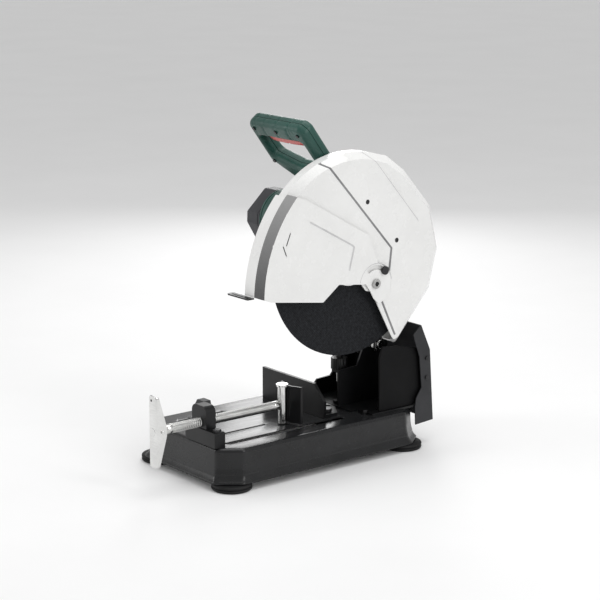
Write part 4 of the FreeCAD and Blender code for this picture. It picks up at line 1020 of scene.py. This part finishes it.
def motor_end_cap():
    """A faceted moulded cap with a parting groove, a raised rim and a louvred end."""
    low, high = span("motor_end_cap")
    base = cap_ring()
    centre = Vector((MOTOR.y, MOTOR.z))
    drum = [(0.0, 0.98), (0.4, 1.0), (4, 1.0), (4.5, 0.985), (6, 0.985), (6.5, 1.0)]
    end = [(8, 1.0), (6.6, 0.99), (5.8, 0.965), (2.2, 0.86), (0.7, 0.82), (0.2, 0.76), (0.2, 0.62),
           (1.6, 0.6), (1.6, 0.2)]
    rows = [(high.x - back, scale) for back, scale in drum] + [(low.x + up, scale) for up, scale in end]
    verts = []
    for x, scale in rows:
        verts += [(x, *(centre + (Vector(p) - centre) * scale)) for p in base]
    count = len(base)
    faces = ring_faces(len(rows), count)
    faces.append(tuple(range(len(verts) - count, len(verts))))
    cap = add_mesh("end_cap_moulding", verts, faces)
    louvres = []
    pitch = 8
    thick = 1.4
    for i in range(-3, 4):
        z = MOTOR.z + pitch * i
        half = math.sqrt(32 ** 2 - (z - MOTOR.z) ** 2) - 5
        corners = [(-half, -thick), (half, -thick), (half, thick), (-half, thick)]
        outline = round_corners([(MOTOR.y + y, z + up) for y, up in corners], 1.2, 3)
        louvres.append(bevelled(prism("louvre", outline, low.x + 0.2, low.x + 3.0), 0.3))
    merge(cap, *louvres)
    dress(cap, "head", "grey_plastic", GREY_NYLON, "motor_end_cap", sharp=24)


def motor_housing():
    """The green motor barrel: a groove behind the end cap, two parting lines and shallow cooling ribs."""
    low, high = span("motor_housing")
    outer = 54.9
    groove = 53.6
    rib_low = low.x + 16
    rib_high = high.x - 14

    def relief(r, h, angle):
        """Sinks the skin along the parting lines, and between the ribs of its front and back."""
        if r < outer - 0.5 or not rib_low < h < rib_high:
            return r
        if abs(math.sin(angle)) < 0.02:
            return r - 0.9
        if abs(math.cos(angle)) < 0.72 and round(math.degrees(angle)) % 9 < 4:
            return r - 1.0
        return r

    profile = [(outer, low.x), (outer, low.x + 3), (groove, low.x + 3.6), (groove, low.x + 5)]
    profile += [(outer, x) for x in (low.x + 5.6, rib_low - 1, rib_low + 1, (rib_low + rib_high) / 2,
                                     rib_high - 1, rib_high + 1, high.x - 6)]
    profile += [(53.9, high.x - 5), (53.9, high.x)]
    barrel = lathe("motor_barrel", profile, (0, MOTOR.y, MOTOR.z), "x", 180, relief)
    dress(barrel, "head", "green_plastic", GREEN, "motor_housing", sharp=40)


# ---- vise

def vise_screw():
    """The spindle: hub, smooth journal, rolled trapezoid thread and nose."""
    low, high = span("vise_screw")
    axis = (SCREW.x, 0, SCREW.z)
    radius = 8.95
    pitch = 4.0
    first = low.y + 34
    last = high.y - 26
    count = 40
    rings = int((last - first) / pitch * 8)
    verts = []
    for k in range(rings + 1):
        y = first + (last - first) * k / rings
        for i in range(count):
            angle = 2 * math.pi * i / count
            phase = (y / pitch - i / count) % 1.0
            tooth = ramp(abs(phase - 0.5), 0.16, 0.3)
            fade = ramp(y - first, 0, 6) * ramp(last - y, 0, 6)
            r = radius - 0.95 * tooth * fade
            verts.append((SCREW.x + r * math.cos(angle), y, SCREW.z + r * math.sin(angle)))
    thread = add_mesh("thread", verts, ring_faces(rings + 1, count))
    hub = [(8.0, low.y), (9.2, low.y + 1.2), (9.2, low.y + 16.5), (8.0, low.y + 17.8), (radius, low.y + 18.6),
           (radius, first)]
    nose = [(radius, last), (radius, high.y - 15.5), (8.0, high.y - 14.4), (4.0, high.y - 14.2),
            (4.0, high.y - 0.6), (3.4, high.y)]
    hub = lathe("hub", hub, axis, "y", count)
    merge(hub, thread, lathe("nose", nose, axis, "y", count))
    hub.name = "threaded_spindle"
    dress(hub, "vise_screw", "zinc", SPINDLE, "vise_screw", sharp=50, weighted=False)


def vise_handle():
    """A folded channel: flat web, two flanges that taper to its ends, rounded along both folds."""
    low, high = span("vise_handle")
    centre = (low + high) / 2
    half = (high.z - low.z) / 2
    deep = high.y - low.y
    rows = 60
    fold = 3.0
    wide = (high.x - low.x) / 2
    shallow = 6.0
    web = low.y + 1.3

    def section(t):
        """Half of the section at a height t from -1 to 1, from the web's middle to the flange's edge."""
        reach = shallow + (deep - shallow) * ramp(1 - abs(t), 0.0, 0.87)
        end = 0.75 + 0.25 * math.sqrt(max(0.0, 1 - ramp(abs(t), 0.93, 1.0) ** 2))
        w = wide * end
        points = [(0.0, 0.0), ((w - fold) * 0.5, 0.0), (w - fold, 0.0)]
        points += [(w - fold + fold * math.sin(math.radians(a)), fold * (1 - math.cos(math.radians(a))))
                   for a in (22, 45, 68, 90)]
        points += [(w, fold + (reach - fold) * k / 3) for k in (1, 2, 3)]
        return points

    verts = []
    for i in range(rows + 1):
        t = -1 + 2 * i / rows
        right = section(t)
        loop = [(-u, v) for u, v in reversed(right[1:])] + right
        verts += [(centre.x + u, web + v * (high.y - web) / deep, centre.z + half * t) for u, v in loop]
    obj = add_mesh("folded_crank", verts, ring_faces(rows + 1, len(loop), closed=False))
    make_oriented(obj, Vector((0, -1, 0)))
    make_sheet(obj, 2.2)
    dress(obj, "vise_screw", "zinc", ZINC, "vise_handle", sharp=34, recalc=False)
    cap = [(0.01, 0.1), (4.5, 0.2), (6.6, 0.7), (7.2, 1.8), (7.2, 3.4)]
    cap = [(r, low.y + up) for r, up in cap]
    dress(lathe("crank_cap", cap, (centre.x, 0, centre.z), "y", 32), "vise_screw", "zinc", ZINC)
    # painted shade: a thin black disc on the web's front stands for a hole and the shade inside it
    hole = [(0.01, web - 0.08), (2.4, web - 0.08), (2.6, web + 0.3)]
    hole = lathe("hang_hole_painted_shade", hole, (centre.x - 3.5, 0, high.z - 8), "y", 24)
    dress(hole, "vise_screw", "black_steel", BLACK_STEEL)


# ---- nodes kept in shape

def kept_nodes():
    """Nodes whose CAD shape is right: rounded edges where they show, or a better material only."""
    soft = [
        ("base", "black_paint", BLACK, {"column": 1.2, "vise_block": 1.6}),
        # the spark wall takes the darker copy of the black coat as painted shade
        ("base", "black_paint", SHADED_WALL_BLACK, {"spark_wall": 0.9}),
        ("base", "dark_paint", DARK_GREY, {"rear_cover": 0.7}),
        ("base", "black_steel", BLACK_STEEL, {"column_bolts": 0.5, "rear_cover_screws": 0.4,
                                              "vise_bolts": 0.5, "fence_pivot_bolt": 0.6,
                                              "fence_clamp_bolt": 0.6}),
        ("base", "zinc", ZINC, {"pivot_shaft": 0.7, "pivot_nut": 0.7}),
        ("base", "steel", STEEL, {"lever_pin": 0.5}),
        ("fence", "black_paint", BLACK, {"fence": 1.0}),
        ("depth_stop", "black_plastic", KNOB, {"stop_knob": 0.9}),
        ("depth_stop", "steel", STEEL, {"stop_stud": 0.5}),
        ("nut_lever", "casting", CASTING, {"nut_lever": 1.8}),
        ("vise_jaw", "zinc", ZINC, {"jaw_pin": 0.8}),
        ("vise_face", "black_paint", BLACK, {"jaw_plate": 0.8}),
        ("vise_screw", "zinc", ZINC, {"handle_pin": 0.4}),
        ("lock_pin", "zinc", ZINC, {"lock_pin": 0.8}),
        ("head", "casting", CASTING, {"arm_casting": 2.0, "gear_cover": 1.2}),
        ("head", "black_steel", BLACK_STEEL, {"gear_cover_screws": 0.4, "handle_screws": 0.3}),
        ("head", "rubber", RUBBER, {"cord_gland": 0.6}),
        ("lock_button", "red_plastic", RED, {"lock_button": 0.9}),
        ("spindle_lock", "black_plastic", KNOB, {"spindle_lock": 0.9}),
    ]
    for body, slot, material, widths in soft:
        for node, width in widths.items():
            softened(node, body, slot, material, width)
    plain = [
        (BLACK, ["corner_plates"]),
        (STEEL, ["foot_screws", "return_spring", "armature_shaft", "armature_bearings", "arbor_bearings",
                 "pinion", "driven_gear", "arbor_shaft", "inner_flange"]),
        (BRONZE, ["pivot_bush"]),
        (CORE, ["stator", "armature_core"]),
        (COPPER, ["commutator"]),
        (GREY_NYLON, ["cooling_fan"]),
        (CARBON, ["carbon_brushes"]),
        (ZINC, ["outer_flange"]),
        (GRIT, ["abrasive_disc"]),
        (BLACK_STEEL, ["arbor_bolt", "guard_screws"]),
    ]
    for material, nodes in plain:
        for node in nodes:
            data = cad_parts[node].data
            data.materials.clear()
            data.materials.append(material)


# ---- stage

def area_light(name, place, target, size, power):
    """A soft rectangular lamp that looks at a target."""
    light = bpy.data.lights.new(name, "AREA")
    light.shape = "RECTANGLE"
    light.size, light.size_y = size
    light.energy = power
    obj = bpy.data.objects.new(name, light)
    obj.location = place
    obj.rotation_euler = (Vector(target) - Vector(place)).to_track_quat("-Z", "Y").to_euler()
    bpy.context.collection.objects.link(obj)


def stage():
    """A plain pale floor, a pale sky and four soft lights."""
    bpy.ops.mesh.primitive_plane_add(size=60, location=(0, 0, 0))
    floor = bpy.context.object
    floor.name = "studio_floor"
    paint = Paint("pale_floor")
    paint.set(Roughness=0.7, Specular_IOR_Level=0.2)
    paint.colour(paint.blend(paint.fit(paint.noise(3.0), 0.3, 0.7), (0.9, 0.9, 0.9), (0.92, 0.92, 0.92)))
    floor.data.materials.append(paint.material)
    world = bpy.data.worlds.new("studio")
    world.use_nodes = True
    background = world.node_tree.nodes["Background"]
    background.inputs["Color"].default_value = (1.0, 1.0, 1.0, 1)
    background.inputs["Strength"].default_value = 0.62
    scene = bpy.context.scene
    scene.world = world
    scene.view_settings.view_transform = "Standard"
    area_light("key", (2.3, 0.5, 1.5), (0, 0, 0.3), (0.7, 2.0), 17)
    area_light("front", (-1.4, -1.9, 1.1), (0, 0, 0.3), (0.7, 1.6), 13)
    area_light("top", (0.1, 0.3, 2.4), (0, 0, 0.2), (1.4, 1.4), 17)
    area_light("rim", (-1.6, 1.4, 1.2), (0, 0, 0.35), (0.6, 1.4), 9)


def camera():
    """A long lens from the operator's right, a little above the table."""
    azimuth = math.radians(51.543)
    elevation = math.radians(12.975)
    distance = 3.7569
    data = bpy.data.cameras.new("view")
    data.sensor_width = 36.0
    data.lens = 119.47
    obj = bpy.data.objects.new("view", data)
    target = Vector((-29.507, 79.372, 281.605)) * MM
    back = Vector((math.sin(azimuth) * math.cos(elevation), -math.cos(azimuth) * math.cos(elevation),
                   math.sin(elevation)))
    obj.location = target + back * distance
    obj.rotation_euler = back.to_track_quat("Z", "Y").to_euler()
    bpy.context.collection.objects.link(obj)
    bpy.context.scene.camera = obj


camera()
stage()
base_tray()
rubber_feet()
fixed_guard()
moving_guard()
guard_tab()
pivot_screw()
handle_shell("handle_operator_half", -1, "handle_front_shell")
handle_shell("handle_wheel_half", 1, "handle_rear_shell")
trigger()
motor_end_cap()
motor_housing()
vise_screw()
vise_handle()
kept_nodes()
